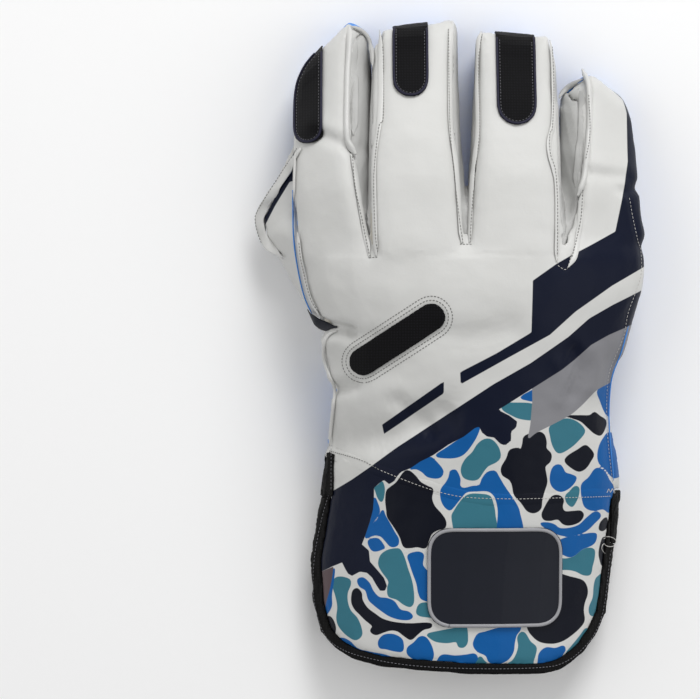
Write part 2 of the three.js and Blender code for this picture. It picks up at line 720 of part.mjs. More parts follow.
addPiece('back_panel', shell.intersect(upperSpace(0)).intersect(beyond(wristRows, halfGap)), 'leather');
for (const pair of neighbours) {
  addPiece(`${pair.join('_')}_gusset`, rest.intersect(gussetSpace(pair, 0)), 'wall');
}
addPiece('thumb_back', thumbBack(), 'leather');
addPiece('web_hem', webHem(), 'leather');
addPiece('palm', palm(), 'rubber');
addPiece('cuff_back', cuffBack(), 'print');
addPiece('cuff_palm', cuffPalm(), 'leather');
addPiece('cuff_back_binding', backBinding(), 'binding');
addPiece('cuff_palm_binding', palmBinding(), 'binding');
for (const [name, tape] of Object.entries(tapes)) {
  addPiece(name, sideTape(tape), 'binding');
}
for (const name of Object.keys(tipPatch)) {
  addPiece(`${name}_tip_patch`, fingertipPatch(name), 'netting');
}
addPiece('back_inlay', handLayer.intersect(roundedPlate(inlay)).intersect(over), 'netting');
addPiece('cuff_patch', handLayer.intersect(roundedPlate(cuffPatch)).intersect(over), 'print');

const box = new THREE.Box3().setFromObject(glove);
const middle = box.getCenter(new THREE.Vector3());
glove.position.set(-middle.x, -middle.y, -box.min.z);

export default glove;
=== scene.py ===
"""Looks of a wicketkeeping glove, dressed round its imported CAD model.

Metres in the CAD frame: +X to the little finger, +Y to the fingertips, +Z up from the surface. Plan sizes in
the tables are millimetres, since that is how a glove maker reads them.
"""

import logging
import math
from dataclasses import dataclass, field
from enum import Enum
from typing import Any, Iterable, Sequence

import bmesh
import bpy
import numpy as np
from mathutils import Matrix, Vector, noise
from mathutils.bvhtree import BVHTree
from mathutils.geometry import convex_hull_2d
from mathutils.kdtree import KDTree


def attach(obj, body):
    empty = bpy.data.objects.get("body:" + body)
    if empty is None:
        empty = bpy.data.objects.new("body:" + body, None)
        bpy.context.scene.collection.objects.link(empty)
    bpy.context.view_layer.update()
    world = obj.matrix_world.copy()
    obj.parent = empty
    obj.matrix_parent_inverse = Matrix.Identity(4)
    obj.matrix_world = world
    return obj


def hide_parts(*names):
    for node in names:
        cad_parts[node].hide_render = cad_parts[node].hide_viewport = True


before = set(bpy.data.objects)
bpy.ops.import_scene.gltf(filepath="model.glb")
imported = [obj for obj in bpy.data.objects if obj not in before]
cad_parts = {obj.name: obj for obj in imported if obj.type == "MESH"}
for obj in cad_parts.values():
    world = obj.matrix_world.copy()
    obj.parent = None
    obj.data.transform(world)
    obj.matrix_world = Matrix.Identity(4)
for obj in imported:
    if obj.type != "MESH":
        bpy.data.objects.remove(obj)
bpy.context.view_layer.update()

LOG = logging.getLogger("glove")
MM = 0.001
HALFWAY = 0.5  # how far a round of smoothing moves a corner to the middle of its neighbours

Plan = Sequence[tuple[float, float]]

# Outlines of the prints and seams are charted in half millimetres, to the right and down from a
# corner left of the fingertips, where the middle finger's right seam is at 448.5 and the glove's middle at
# 347.75. plan() turns them to millimetres in the CAD frame.
CHART_ACROSS, CHART_ALONG, CHART_UNIT = 448.5, 347.75, 0.5

BANDS = {
    "upper_band": [
        (530.6, 281.5), (554, 265), (568, 257), (590, 245.5), (615, 231.7), (625, 186.7), (629.3, 160),
        (630, 110), (626.7, 96.7), (613, 84), (650, 70), (660, 180), (660, 258), (643.5, 267.5),
        (611, 286),
        (573.6, 312), (548, 335), (506, 358), (459.6, 384), (459, 372), (494.5, 353.6), (529.4, 332.7),
    ],
    "short_bar": [(443, 381), (443, 393), (384, 434), (382, 424.6)],
    "lower_band": [
        (660, 281), (641, 291), (612, 305), (587.6, 318.7), (566.7, 337), (529, 363), (492, 384),
        (464, 402.5),
        (429, 426), (397, 447), (370, 467), (352, 480), (330, 494), (300, 508), (300, 585), (310, 580.5),
        (332, 568.5), (342, 564), (345, 570), (348, 575), (352, 577), (360, 572.5), (367, 573.5),
        (372, 578),
        (376, 585), (380, 591), (385, 591), (387, 586), (384, 578), (378, 571), (370, 562), (369, 551),
        (362, 545), (365, 537), (370, 522), (373, 510), (374, 497), (374, 488), (380, 482.5), (384, 480),
        (389, 484), (394, 481), (397, 476), (401, 471.5), (410, 468), (420, 461), (432, 455), (448, 444),
        (463, 436), (474, 427.5), (478, 426), (481, 432), (486, 436), (493, 437), (499, 443), (504, 445),
        (510, 440), (510, 431), (515, 427), (516, 421), (508, 415), (497, 409.5), (533.3, 386.7),
        (560, 370),
        (573.3, 360), (590, 345), (608.3, 335), (628.3, 326.7), (660, 312),
    ],
}
SILVER = [
    (640, 305), (587, 335), (555, 360), (532.5, 375), (531, 400), (529, 425), (527, 438), (535, 432.5),
    (547, 426.5), (560, 420), (571, 414), (582, 405), (589, 398), (596, 391), (604, 386.5), (613, 382.5),
    (640, 372),
]
WEB_STRIPE = [
    (304, 150), (295.6, 160), (280, 183.3), (265.6, 208.9), (257, 226.7), (259.4, 240), (261.8, 239),
    (264, 223.3),
    (274, 204.4), (289.3, 180), (304, 178.5),
]
# The silver print at the cuff's lower left, where it lies in shade, drawn as its own dark greyish-mauve
# colour: painted shade on the silver.
SILVER_PAINTED_SHADE = [(300, 585), (310, 580.5), (331, 569.5), (333, 572), (330, 590), (326, 605), (321, 624), (300, 624)]
INK_BLOBS = [
    [(404, 472), (409, 471), (415, 476), (420, 482), (427, 486), (432, 489), (431, 498), (434, 506),
     (441, 514),
     (445, 521), (444, 527), (437, 529), (431, 533), (428, 540), (425, 547), (417, 546), (410, 547),
     (404, 546),
     (400, 536), (394, 526), (388, 517), (387, 510), (386, 500), (387, 491), (391, 487), (397, 482)],
    [(322, 626), (328, 620), (332, 622), (335, 630), (334, 638), (332, 644), (328, 640), (323, 632)],
    [(353, 593), (357, 590), (361, 594), (362, 601), (367, 609), (375, 615), (383, 620), (395, 623),
     (410, 624),
     (425, 623), (431, 624), (430, 627), (423, 629), (417, 634), (411, 639), (405, 636), (398, 631),
     (391, 630),
     (384, 632), (376, 635), (371, 632), (373, 627), (370, 624), (365, 620), (360, 615), (355, 610),
     (352, 603)],
    [(523, 437), (528, 434), (532, 435), (538, 432), (543, 435), (545, 442), (545, 448), (550, 454),
     (549, 461),
     (544, 466), (545, 474), (546, 482), (543, 492), (541, 500), (540, 508), (534, 512), (527, 510),
     (521, 502),
     (514, 494), (512, 485), (509, 479), (502, 474), (501, 467), (506, 458), (509, 450), (516, 448),
     (520, 449),
     (522, 443)],
    [(566, 416), (580, 416), (590, 416), (595, 413), (601, 417), (607, 421), (607, 427), (602, 435),
     (595, 433),
     (588, 427), (581, 421), (573, 418)],
    [(578, 450), (585, 446), (590, 449), (594, 455), (591, 461), (586, 468), (579, 471), (571, 467),
     (565, 461),
     (568, 456)],
    [(553, 496), (559, 496), (563, 500), (562, 507), (565, 512), (574, 512), (581, 512), (584, 516),
     (580, 522),
     (571, 525), (564, 524), (558, 519), (550, 520), (544, 519), (542, 514), (545, 507), (549, 500)],
    [(548, 575), (560, 575), (570, 578), (583, 582), (588, 588), (589, 596), (586, 605), (585, 613),
     (586, 623),
     (581, 630), (572, 637), (563, 642), (553, 644), (541, 642), (533, 636), (528, 628), (528, 618),
     (540, 600)],
    [(604, 523), (609, 520), (610, 528), (606, 532), (602, 531), (602, 527)],
    [(606, 540), (612, 545), (610, 560), (606, 568), (603, 562), (602, 553)],
]
BLUE_BLOBS = [
    [(478, 426), (476, 434), (471, 443), (464, 452), (457, 456), (447, 457), (436, 455), (447, 447),
     (460, 438),
     (470, 430)],
    [(410, 468), (420, 461), (429, 457), (434, 460), (441, 468), (442, 473), (438, 477), (428, 476),
     (422, 471),
     (416, 468)],
    [(374, 499), (377, 503), (379, 512), (373, 522), (372, 525), (377, 521), (381, 513), (383, 511),
     (385, 516),
     (389, 523), (394, 532), (398, 539), (397, 545), (391, 546), (386, 541), (381, 536), (374, 535),
     (366, 538),
     (368, 530), (372, 517)],
    [(369, 541), (374, 539), (379, 540), (384, 547), (382, 549), (376, 551), (372, 550), (369, 545)],
    [(408, 556), (412, 553), (419, 552), (423, 555), (422, 564), (426, 570), (436, 580), (436, 600),
     (423, 599),
     (419, 593), (417, 583), (413, 572), (410, 563)],
    [(334, 571), (333, 583), (331, 597), (331, 608), (327, 616), (322, 620), (325, 608), (329, 594),
     (331, 580)],
    [(358, 581), (363, 579), (369, 584), (373, 592), (379, 598), (387, 599), (394, 602), (400, 610),
     (408, 612),
     (412, 616), (409, 619), (400, 619), (390, 616), (382, 611), (374, 605), (369, 600), (366, 591),
     (360, 587)],
    [(379, 642), (384, 636), (393, 635), (401, 639), (403, 645), (402, 651), (395, 651), (386, 649),
     (380, 648)],
    [(408, 648), (414, 643), (420, 637), (426, 638), (431, 646), (433, 655), (430, 662), (423, 663),
     (414, 659),
     (408, 654)],
    [(338, 643), (343, 641), (350, 644), (358, 651), (372, 654), (385, 656), (395, 660), (400, 668),
     (380, 675),
     (350, 668), (335, 654)],
    [(438, 660), (443, 655), (455, 656), (466, 655), (474, 654), (477, 658), (474, 663), (468, 672),
     (450, 676),
     (436, 670)],
    [(450, 471), (455, 470), (459, 478), (459, 485), (463, 488), (472, 486), (479, 485), (482, 478),
     (487, 472),
     (494, 471), (498, 477), (504, 487), (511, 497), (517, 507), (519, 514), (522, 527), (521, 537),
     (499, 537),
     (498, 511), (496, 500), (493, 494), (487, 490), (476, 490), (466, 491), (460, 497), (453, 506),
     (449, 509),
     (444, 505), (441, 498), (441, 489), (446, 482), (449, 476)],
    [(551, 471), (554, 466), (559, 465), (562, 468), (565, 473), (571, 475), (576, 478), (573, 484),
     (567, 489),
     (560, 491), (553, 487), (550, 480)],
    [(611, 434), (606, 438), (601, 446), (599, 456), (601, 464), (608, 470), (613, 476), (618, 479),
     (625, 475),
     (625, 455), (620, 438)],
    [(583, 484), (590, 478), (596, 470), (602, 470), (607, 474), (611, 481), (616, 489), (615, 500),
     (616, 510),
     (612, 514), (605, 510), (594, 511), (586, 507), (583, 498), (582, 490)],
    [(541, 524), (547, 523), (554, 525), (560, 529), (570, 529), (580, 526), (587, 520), (595, 514),
     (600, 514),
     (602, 518), (596, 524), (588, 531), (578, 535), (566, 536), (553, 532)],
    [(565, 539), (575, 538), (584, 536), (592, 535), (598, 536), (597, 543), (592, 547), (583, 550),
     (575, 556),
     (569, 557), (560, 552), (555, 545)],
    [(474, 641), (478, 634), (485, 632), (495, 629), (507, 626), (519, 620), (520, 629), (516, 635),
     (514, 643),
     (513, 651), (509, 658), (503, 662), (495, 664), (489, 661), (486, 655), (478, 651), (474, 646)],
    [(541, 653), (547, 649), (556, 650), (564, 648), (566, 652), (562, 660), (561, 680), (540, 680),
     (539, 660)],
    [(598, 391), (607, 386), (616, 382), (620, 392), (616, 405), (611, 416), (606, 411), (602, 402)],
    [(520, 397), (526, 393), (534, 390), (534, 400), (524, 399)],
]
TEAL_BLOBS = [
    [(375, 488), (379, 485), (382, 482), (384, 489), (383, 498), (381, 501), (378, 497), (376, 491)],
    [(381, 556), (387, 551), (395, 549), (400, 550), (404, 558), (407, 568), (411, 580), (413, 592),
     (413, 602),
     (410, 606), (404, 604), (397, 599), (389, 596), (388, 588), (389, 581), (382, 571), (379, 564)],
    [(335, 581), (341, 579), (349, 581), (350, 586), (347, 594), (347, 603), (350, 612), (357, 620),
     (361, 630),
     (361, 637), (355, 641), (346, 636), (339, 628), (337, 620), (338, 609), (336, 598), (333, 588)],
    [(417, 610), (420, 604), (428, 603), (440, 606), (440, 616), (425, 616), (418, 614)],
    [(428, 634), (440, 631), (455, 628), (465, 625), (467, 640), (464, 646), (459, 646), (456, 641),
     (447, 642),
     (437, 641), (431, 638)],
    [(463, 498), (470, 494), (481, 494), (489, 496), (492, 503), (494, 514), (494, 537), (460, 537),
     (452, 518),
     (455, 509)],
    [(484, 439), (491, 440), (497, 447), (499, 456), (495, 461), (487, 465), (482, 471), (477, 478),
     (470, 479),
     (463, 476), (461, 468), (465, 459), (472, 452), (477, 444)],
    [(549, 427), (557, 421), (567, 419), (576, 422), (583, 428), (584, 433), (577, 441), (570, 447),
     (561, 452),
     (556, 451), (552, 444), (550, 436)],
    [(570, 492), (575, 487), (579, 489), (578, 497), (574, 505), (571, 506), (567, 502), (566, 496)],
    [(550, 559), (565, 560), (575, 558), (583, 552), (590, 550), (596, 552), (596, 560), (594, 568),
     (592, 576),
     (585, 576), (577, 572), (568, 570), (550, 569)],
    [(600, 580), (610, 577), (610, 595), (604, 608), (598, 618), (593, 617), (592, 610), (596, 600),
     (597, 588)],
    [(521, 633), (525, 634), (530, 642), (536, 648), (535, 656), (533, 663), (532, 680), (505, 680),
     (507, 666),
     (513, 661), (517, 654), (519, 646), (518, 638)],
    [(568, 655), (574, 648), (582, 639), (588, 632), (592, 635), (590, 645), (578, 662), (569, 670),
     (566, 662)],
    [(480, 657), (483, 660), (488, 668), (472, 676), (476, 662)],
    [(502, 404), (512, 403), (533, 405), (533, 418), (520, 418), (510, 414), (502, 409)],
]

# Raised edges where two leathers are sewn together, each with the side on which its finger lies: 1 for the
# little finger's side, -1 for the thumb's. Two tall ones stand up between a thin finger and its neighbour.
EDGES = [
    (1, [(377, 27), (377.7, 67), (376.7, 117), (370.7, 160), (370.7, 200), (371.7, 240), (372.8, 257)]),
    (-1, [(455, 20), (454.5, 30), (453.3, 67), (453.3, 127), (458.3, 167), (462.7, 233), (463.5, 244)]),
    (1, [(480, 28), (476, 38), (474, 83), (474, 133), (468.3, 177), (465.5, 233), (465, 244)]),
    (-1, [(554, 38), (556, 50), (556.7, 83), (556, 123), (550.7, 143), (552.3, 160), (557.7, 180),
    (558.7, 213),
          (557.3, 262)]),
    (-1, [(354, 155), (357.3, 167), (363.3, 207), (370.7, 247), (372, 258)]),
    (1, [(577.7, 193), (575, 227), (570, 257), (563, 268)]),
    (1, [(294.2, 232), (295.2, 240), (298.3, 263), (306.3, 297), (318, 319)]),
]
ROLLED_EDGE = [(295, 152), (294, 175), (293.5, 205), (294.5, 236)]
TALL_EDGES = [
    [(349.3, 24), (349, 40), (347.5, 80), (346.7, 130), (349, 146), (355, 156)],
    [(586.8, 66), (589.5, 76), (591, 90), (589, 133), (583, 180), (577, 197)],
]
WALL_SEAMS = [
    [(355, 34), (354.5, 60), (354, 100), (353.5, 136)],
    [(581, 86), (583.5, 95), (583.5, 120), (580, 150), (575, 188)],
]
TIP_ROLLS = [
    [(350, 23.5), (358, 25), (365, 29), (370, 37), (372, 50), (372.5, 66)],
    [(586, 75.5), (580, 78), (573, 82.5), (566, 88), (561, 96)],
]
WRIST_ROLL = [
    (337, 331), (328, 334), (323.5, 345), (324, 360), (330, 378), (335, 388), (334, 400), (331.5, 420),
    (329, 447),
]
RIGHT_PIPING = [
    (629, 326), (625.5, 340), (621, 356), (614, 374), (611.5, 392), (611, 420), (613, 450), (616.5, 482),
]
BLUE_EDGE = [(292.5, 190), (293, 232), (296.5, 263), (304, 297), (315, 320)]
NAVY_TUCK = [(307, 309), (313, 319), (323, 326), (337, 327)]
HEM = [
    (300.5, 148), (278.5, 181.5), (260, 210), (257.5, 219), (260.5, 232), (265, 241), (273, 249), (282, 257),
]
# Rows of stitches, in grey thread on white leather and in white thread on the prints and tapes.
GREY_ROWS = [
    [(382, 33), (383.3, 60), (383.3, 118), (379, 127), (375, 160), (373.5, 187), (375, 233),
     (377.5, 255)],
    [(449, 27), (449, 117), (451.7, 160), (457.7, 217), (461.7, 245)],
    [(483.3, 32), (479, 60), (479, 127), (476, 160), (471.7, 200), (468.7, 245)],
    [(553.3, 40), (554.3, 83), (551.7, 127), (549.3, 133), (548.3, 143), (549.3, 157), (554, 173),
     (555.7, 207), (555, 257)],
    [(352.3, 157), (355, 187), (361.7, 220), (367.3, 247), (370, 258)],
    [(590, 93), (590, 133), (585, 160)],
    [(581.7, 190), (580, 217), (575, 240), (570, 258)],
    [(299, 242), (301.5, 263), (309.8, 297), (319.3, 314)],
    [(297, 147), (275, 179), (256.4, 208.5), (253.8, 219), (256.6, 232), (260, 241)],
    [(368.5, 259), (378, 258)],
    [(458, 245.5), (470, 245.5)],
]
WRIST_GAP = [
    (325, 451.5), (330.5, 454), (362, 465), (394.5, 475.8), (432, 487), (470.6, 497), (514.6, 499.6),
    (560, 497.5), (602.5, 494.3), (617, 494),
]
WRIST_SEAM = [
    (329, 452), (360, 460), (380, 470), (413.3, 483), (440, 491.7), (466.7, 496.7), (513.3, 498.3),
    (563.3, 497.7), (614, 497.7),
]
WHITE_ROWS = [
    [(630, 197), (633.3, 217), (638.3, 240), (641.7, 250), (641.7, 273), (636.7, 290), (628.3, 313),
     (625, 333), (620, 347), (613.3, 363), (609, 380), (608.3, 417), (610, 443), (614.3, 477),
     (618.3, 497)],
    [(556, 232), (555, 262), (558, 268), (565, 269.5), (570, 252)],
]
CUFF_ROW = [
    (328.3, 496.7), (321.7, 520), (315, 553), (312.7, 580), (314, 606.7), (321.7, 633), (333, 646.7),
    (356.7, 656.7), (406.7, 665), (473.3, 668.3), (540, 668.3), (563.3, 665), (583.3, 653), (600, 633),
    (608.3, 606.7), (613.3, 563), (615, 553),
]
TAPE_ROW = [(331, 449), (331, 492)]
ZIGZAG = [(609, 494), (611, 490), (613, 494), (615, 490), (617, 494)]
LOOSE_THREAD = [
    (606, 541), (611, 539), (617, 541), (620, 545), (617, 549), (611, 549), (606, 546), (604, 551),
    (608, 556),
]
# Wrist seam of the palm side, double.
PALM_ROWS = [
    [(334, 505), (400, 507), (470, 508), (540, 507), (604, 505)],
    [(334, 509), (400, 511), (470, 512), (540, 511), (604, 509)],
]


# Small tools


def linear(colour: str) -> tuple[float, float, float, float]:
    """Turns an sRGB hex colour to linear.

    Args:
        colour: Hex digits such as "#DEDEDC".

    Returns:
        Linear red, green, blue and an alpha of 1.
    """
    parts = [int(colour[k:k + 2], 16) / 255 for k in (1, 3, 5)]
    low, slope, power = 0.04045, 12.92, 2.4
    return (*(c / slope if c <= low else ((c + 0.055) / 1.055) ** power for c in parts), 1.0)


def add_node(
    tree: bpy.types.NodeTree,
    kind: str,
    settings: dict[Any, Any] | None = None,
    links: dict[Any, bpy.types.NodeSocket] | None = None,
) -> bpy.types.Node:
    """Adds a shader node with its settings and links.

    Args:
        tree: The material's node tree.
        kind: The node's type, without "ShaderNode".
        settings: Values of inputs, by name or number, or of the node's own properties.
        links: Sources of inputs, by name or number.

    Returns:
        The new node.
    """
    node = tree.nodes.new("ShaderNode" + kind)
    for key, value in (settings or {}).items():
        if isinstance(key, int) or key in node.inputs:
            node.inputs[key].default_value = value
        else:
            setattr(node, key, value)
    for key, source in (links or {}).items():
        tree.links.new(source, node.inputs[key])
    return node


def new_material(name: str) -> tuple[bpy.types.Material, bpy.types.NodeTree, bpy.types.Node]:
    """Makes a node material.

    Args:
        name: The material's name.

    Returns:
        The material, its tree and its Principled node.
    """
    material = bpy.data.materials.new(name)
    material.use_nodes = True
    tree = material.node_tree
    return material, tree, tree.nodes["Principled BSDF"]


def per_metre(size: float) -> float:
    """Gives the texture scale that draws a feature of a size in millimetres."""
    return 1 / (size * MM)


def place(tree: bpy.types.NodeTree) -> bpy.types.NodeSocket:
    """Gives the place on the object in metres, for patterns of a real size."""
    return add_node(tree, "TexCoord").outputs["Object"]


def mesh_object(
    name: str, points: Iterable[Sequence[float]], faces: Iterable[Sequence[int]]
) -> bpy.types.Object:
    """Makes a mesh object in the scene.

    Args:
        name: The object's name.
        points: Corners in metres.
        faces: Corner numbers of each face.

    Returns:
        The new object.
    """
    mesh = bpy.data.meshes.new(name)
    mesh.from_pydata([tuple(p) for p in points], [], [tuple(f) for f in faces])
    mesh.update()
    made = bpy.data.objects.new(name, mesh)
    bpy.context.scene.collection.objects.link(made)
    return made


def coordinates(mesh: bpy.types.Mesh) -> np.ndarray:
    """Reads the corners of a mesh as an array of rows."""
    flat = np.empty(len(mesh.vertices) * 3, np.float32)
    mesh.vertices.foreach_get("co", flat)
    return flat.reshape(-1, 3).astype(float)


def normals(mesh: bpy.types.Mesh) -> np.ndarray:
    """Reads the corner normals of a mesh as an array of rows."""
    flat = np.empty(len(mesh.vertices) * 3, np.float32)
    mesh.vertex_normals.foreach_get("vector", flat)
    return flat.reshape(-1, 3).astype(float)


def set_coordinates(mesh: bpy.types.Mesh, points: np.ndarray) -> None:
    """Moves the corners of a mesh."""
    mesh.vertices.foreach_set("co", points.astype(np.float32).ravel())
    mesh.update()


def baked(source: bpy.types.Object, modifiers: Sequence[tuple[str, dict[str, Any]]]) -> bpy.types.Mesh:
    """Applies modifiers to a copy of an object's mesh.

    Args:
        source: The object to copy.
        modifiers: Type and settings of each modifier.

    Returns:
        The finished mesh.
    """
    work = bpy.data.objects.new("work", source.data.copy())
    bpy.context.scene.collection.objects.link(work)
    for kind, settings in modifiers:
        modifier = work.modifiers.new(kind, kind)
        for key, value in settings.items():
            setattr(modifier, key, value)
    graph = bpy.context.evaluated_depsgraph_get()
    mesh = bpy.data.meshes.new_from_object(work.evaluated_get(graph))
    old = work.data
    bpy.data.objects.remove(work)
    bpy.data.meshes.remove(old)
    return mesh


def plan(places: Plan) -> np.ndarray:
    """Turns charted places to millimetres in the CAD frame.

    Args:
        places: Places across and along, in half millimetres.

    Returns:
        X and Y, a row each.
    """
    chart = np.array(places, float)
    across = (chart[:, 0] - CHART_ACROSS) * CHART_UNIT
    along = (CHART_ALONG - chart[:, 1]) * CHART_UNIT
    return np.stack([across, along], axis=1)


def segment_distance(points: np.ndarray, line: np.ndarray) -> np.ndarray:
    """Measures how far points lie from a polyline in plan.

    Args:
        points: Places, a row each.
        line: The polyline's corners, a row each.

    Returns:
        The least distance of each place.
    """
    best = np.full(len(points), np.inf)
    for a, b in zip(line[:-1], line[1:]):
        way = b - a
        share = np.clip(((points - a) @ way) / max(way @ way, 1e-12), 0, 1)
        best = np.minimum(best, np.linalg.norm(points - a - share[:, None] * way, axis=1))
    return best


def inside_depth(points: np.ndarray, outline: np.ndarray) -> np.ndarray:
    """Measures how deep points lie inside a closed outline in plan.

    Args:
        points: Places, a row each.
        outline: The outline's corners, a row each.

    Returns:
        Depth of each place, below zero outside.
    """
    closed = np.vstack([outline, outline[:1]])
    inside = np.zeros(len(points), bool)
    x, y = points[:, 0], points[:, 1]
    for (ax, ay), (bx, by) in zip(closed[:-1], closed[1:]):
        if ay == by:
            continue
        crosses = (ay > y) != (by > y)
        inside ^= crosses & (x < (bx - ax) * (y - ay) / (by - ay) + ax)
    return np.where(inside, 1, -1) * segment_distance(points, closed)


def smooth_outline(corners: Plan, closed: bool, steps: int = 6) -> np.ndarray:
    """Draws a smooth curve through given corners.

    Args:
        corners: Places in plan.
        closed: Whether the curve returns to its start.
        steps: Points for each stretch between corners.

    Returns:
        Points on the curve, a row each.
    """
    p = np.array(corners, float)
    if closed:
        p = np.vstack([p[-1], p, p[:2]])
    else:
        p = np.vstack([2 * p[0] - p[1], p, 2 * p[-1] - p[-2]])
    curve = []
    for a, b, c, d in zip(p[:-3], p[1:-2], p[2:-1], p[3:]):
        for t in np.arange(steps) / steps:
            curve.append(0.5 * (2 * b + (c - a) * t + (2 * a - 5 * b + 4 * c - d) * t**2
                                + (3 * b - a - 3 * c + d) * t**3))
    if not closed:
        curve.append(p[-2])
    return np.array(curve)


def even_points(line: np.ndarray, step: float) -> np.ndarray:
    """Spaces points evenly along a polyline.

    Args:
        line: The polyline's corners, a row each.
        step: Distance between points.

    Returns:
        Evenly spaced points, a row each.
    """
    lengths = np.linalg.norm(np.diff(line, axis=0), axis=1)
    travelled = np.concatenate([[0], np.cumsum(lengths)])
    count = max(int(round(travelled[-1] / step)), 1)
    at = np.linspace(0, travelled[-1], count + 1)
    return np.stack([np.interp(at, travelled, line[:, k]) for k in range(line.shape[1])], axis=1)


# Finishes


@dataclass(frozen=True)
class Print:
    """A colour printed where a depth attribute of the mesh is above zero."""

    attribute: str
    colour: str


@dataclass(frozen=True)
class CoatedLeather:
    """Polyurethane-coated leather: smooth, slightly glossy, with a fine embossed grain.

    The real grain is about 0.3 mm, finer than a pixel, so it is drawn coarser. Sizes are millimetres.
    """

    name: str
    colour: str
    shade: str
    prints: tuple[Print, ...] = ()
    grain: float = 0.8
    roughness: float = 0.44
    relief: float = 0.10
    gloss: float = 0.5
    blotch: float = 35.714
    crease: float = 4.762
    edge: float = 0.12

    def material(self) -> bpy.types.Material:
        """Makes the material: soft colour drift, prints with crisp edges, grain and fine creasing."""
        material, tree, surface = new_material(self.name)
        where = place(tree)
        drift = add_node(
            tree, "TexNoise", {"Scale": per_metre(self.blotch), "Detail": 3.0}, {"Vector": where},
        )
        colour = add_node(
            tree, "Mix", {"data_type": "RGBA", 6: linear(self.colour), 7: linear(self.shade)},
            {0: drift.outputs["Fac"]},
        ).outputs[2]
        for one in self.prints:
            depth = add_node(tree, "Attribute", {"attribute_name": one.attribute})
            inside = add_node(
                tree, "MapRange", {"From Min": -self.edge, "From Max": self.edge},
                {"Value": depth.outputs["Fac"]},
            )
            colour = add_node(
                tree, "Mix", {"data_type": "RGBA", 7: linear(one.colour)},
                {0: inside.outputs["Result"], 6: colour},
            ).outputs[2]
        tree.links.new(colour, surface.inputs["Base Color"])
        grain = add_node(
            tree, "TexVoronoi", {"Scale": per_metre(self.grain), "Randomness": 1.0}, {"Vector": where},
        )
        crease = add_node(
            tree, "TexNoise", {"Scale": per_metre(self.crease), "Detail": 4.0, "Roughness": 0.6},
            {"Vector": where},
        )
        fine = add_node(
            tree, "Bump", {"Strength": self.relief, "Distance": 0.15 * MM},
            {"Height": grain.outputs["Distance"]},
        )
        coarse = add_node(
            tree, "Bump", {"Strength": 0.22, "Distance": 0.5 * MM},
            {"Height": crease.outputs["Fac"], "Normal": fine.outputs["Normal"]},
        )
        tree.links.new(coarse.outputs["Normal"], surface.inputs["Normal"])
        gloss = add_node(
            tree, "MapRange", {"To Min": self.roughness - 0.06, "To Max": self.roughness + 0.08},
            {"Value": drift.outputs["Fac"]},
        )
        tree.links.new(gloss.outputs["Result"], surface.inputs["Roughness"])
        surface.inputs["Specular IOR Level"].default_value = self.gloss
        return material


@dataclass(frozen=True)
class MouldedRubber:
    """Natural rubber, moulded and dull, for the palm and its pimples. Sizes are millimetres."""

    name: str = "blue_moulded_rubber"
    colour: str = "#3D8CDD"
    shade: str = "#2F78C8"
    roughness: float = 0.5
    index_of_refraction: float = 1.52
    blotch: float = 22.222
    skin: float = 0.7143

    def material(self) -> bpy.types.Material:
        """Makes the material: even colour with a faint bloom and a satin surface."""
        material, tree, surface = new_material(self.name)
        where = place(tree)
        drift = add_node(
            tree, "TexNoise", {"Scale": per_metre(self.blotch), "Detail": 4.0}, {"Vector": where},
        )
        colour = add_node(
            tree, "Mix", {"data_type": "RGBA", 6: linear(self.colour), 7: linear(self.shade)},
            {0: drift.outputs["Fac"]},
        )
        tree.links.new(colour.outputs[2], surface.inputs["Base Color"])
        skin = add_node(
            tree, "TexNoise", {"Scale": per_metre(self.skin), "Detail": 2.0}, {"Vector": where},
        )
        bump = add_node(
            tree, "Bump", {"Strength": 0.15, "Distance": 0.1 * MM}, {"Height": skin.outputs["Fac"]},
        )
        tree.links.new(bump.outputs["Normal"], surface.inputs["Normal"])
        surface.inputs["Roughness"].default_value = self.roughness
        surface.inputs["IOR"].default_value = self.index_of_refraction
        return material


@dataclass(frozen=True)
class WovenCloth:
    """Woven or knitted cloth, drawn as crossed threads of a width in millimetres.

    Threads of tape and mesh are about 0.3 mm, finer than a pixel, so they are drawn coarser.
    """

    name: str
    colour: str
    shade: str
    thread: float
    roughness: float = 0.85
    relief: float = 0.5
    sheen: float = 0.15
    gloss: float = 0.15

    def material(self) -> bpy.types.Material:
        """Makes the material: threads over and under each other, with painted light on their tops and
        painted shade where they dip under, and a soft sheen.
        """
        material, tree, surface = new_material(self.name)
        where = place(tree)
        heights = []
        wave_at_scale_one = 0.314
        scale = wave_at_scale_one / (self.thread * MM) / 2
        for direction in ("X", "Y"):
            wave = add_node(
                tree, "TexWave",
                {"bands_direction": direction, "Scale": scale, "Distortion": 0.6, "Detail": 1.0},
                {"Vector": where},
            )
            heights.append(wave.outputs["Fac"])
        weave = add_node(tree, "Math", {"operation": "MULTIPLY"}, {0: heights[0], 1: heights[1]})
        # Colour follows the weave's height: painted shade where the threads dip under each other, painted
        # light on their tops.
        colour = add_node(
            tree, "Mix", {"data_type": "RGBA", 6: linear(self.shade), 7: linear(self.colour)},
            {0: weave.outputs["Value"]},
        )
        tree.links.new(colour.outputs[2], surface.inputs["Base Color"])
        bump = add_node(
            tree, "Bump", {"Strength": self.relief, "Distance": 0.25 * MM},
            {"Height": weave.outputs["Value"]},
        )
        tree.links.new(bump.outputs["Normal"], surface.inputs["Normal"])
        surface.inputs["Roughness"].default_value = self.roughness
        surface.inputs["Sheen Weight"].default_value = self.sheen
        surface.inputs["Specular IOR Level"].default_value = self.gloss
        return material


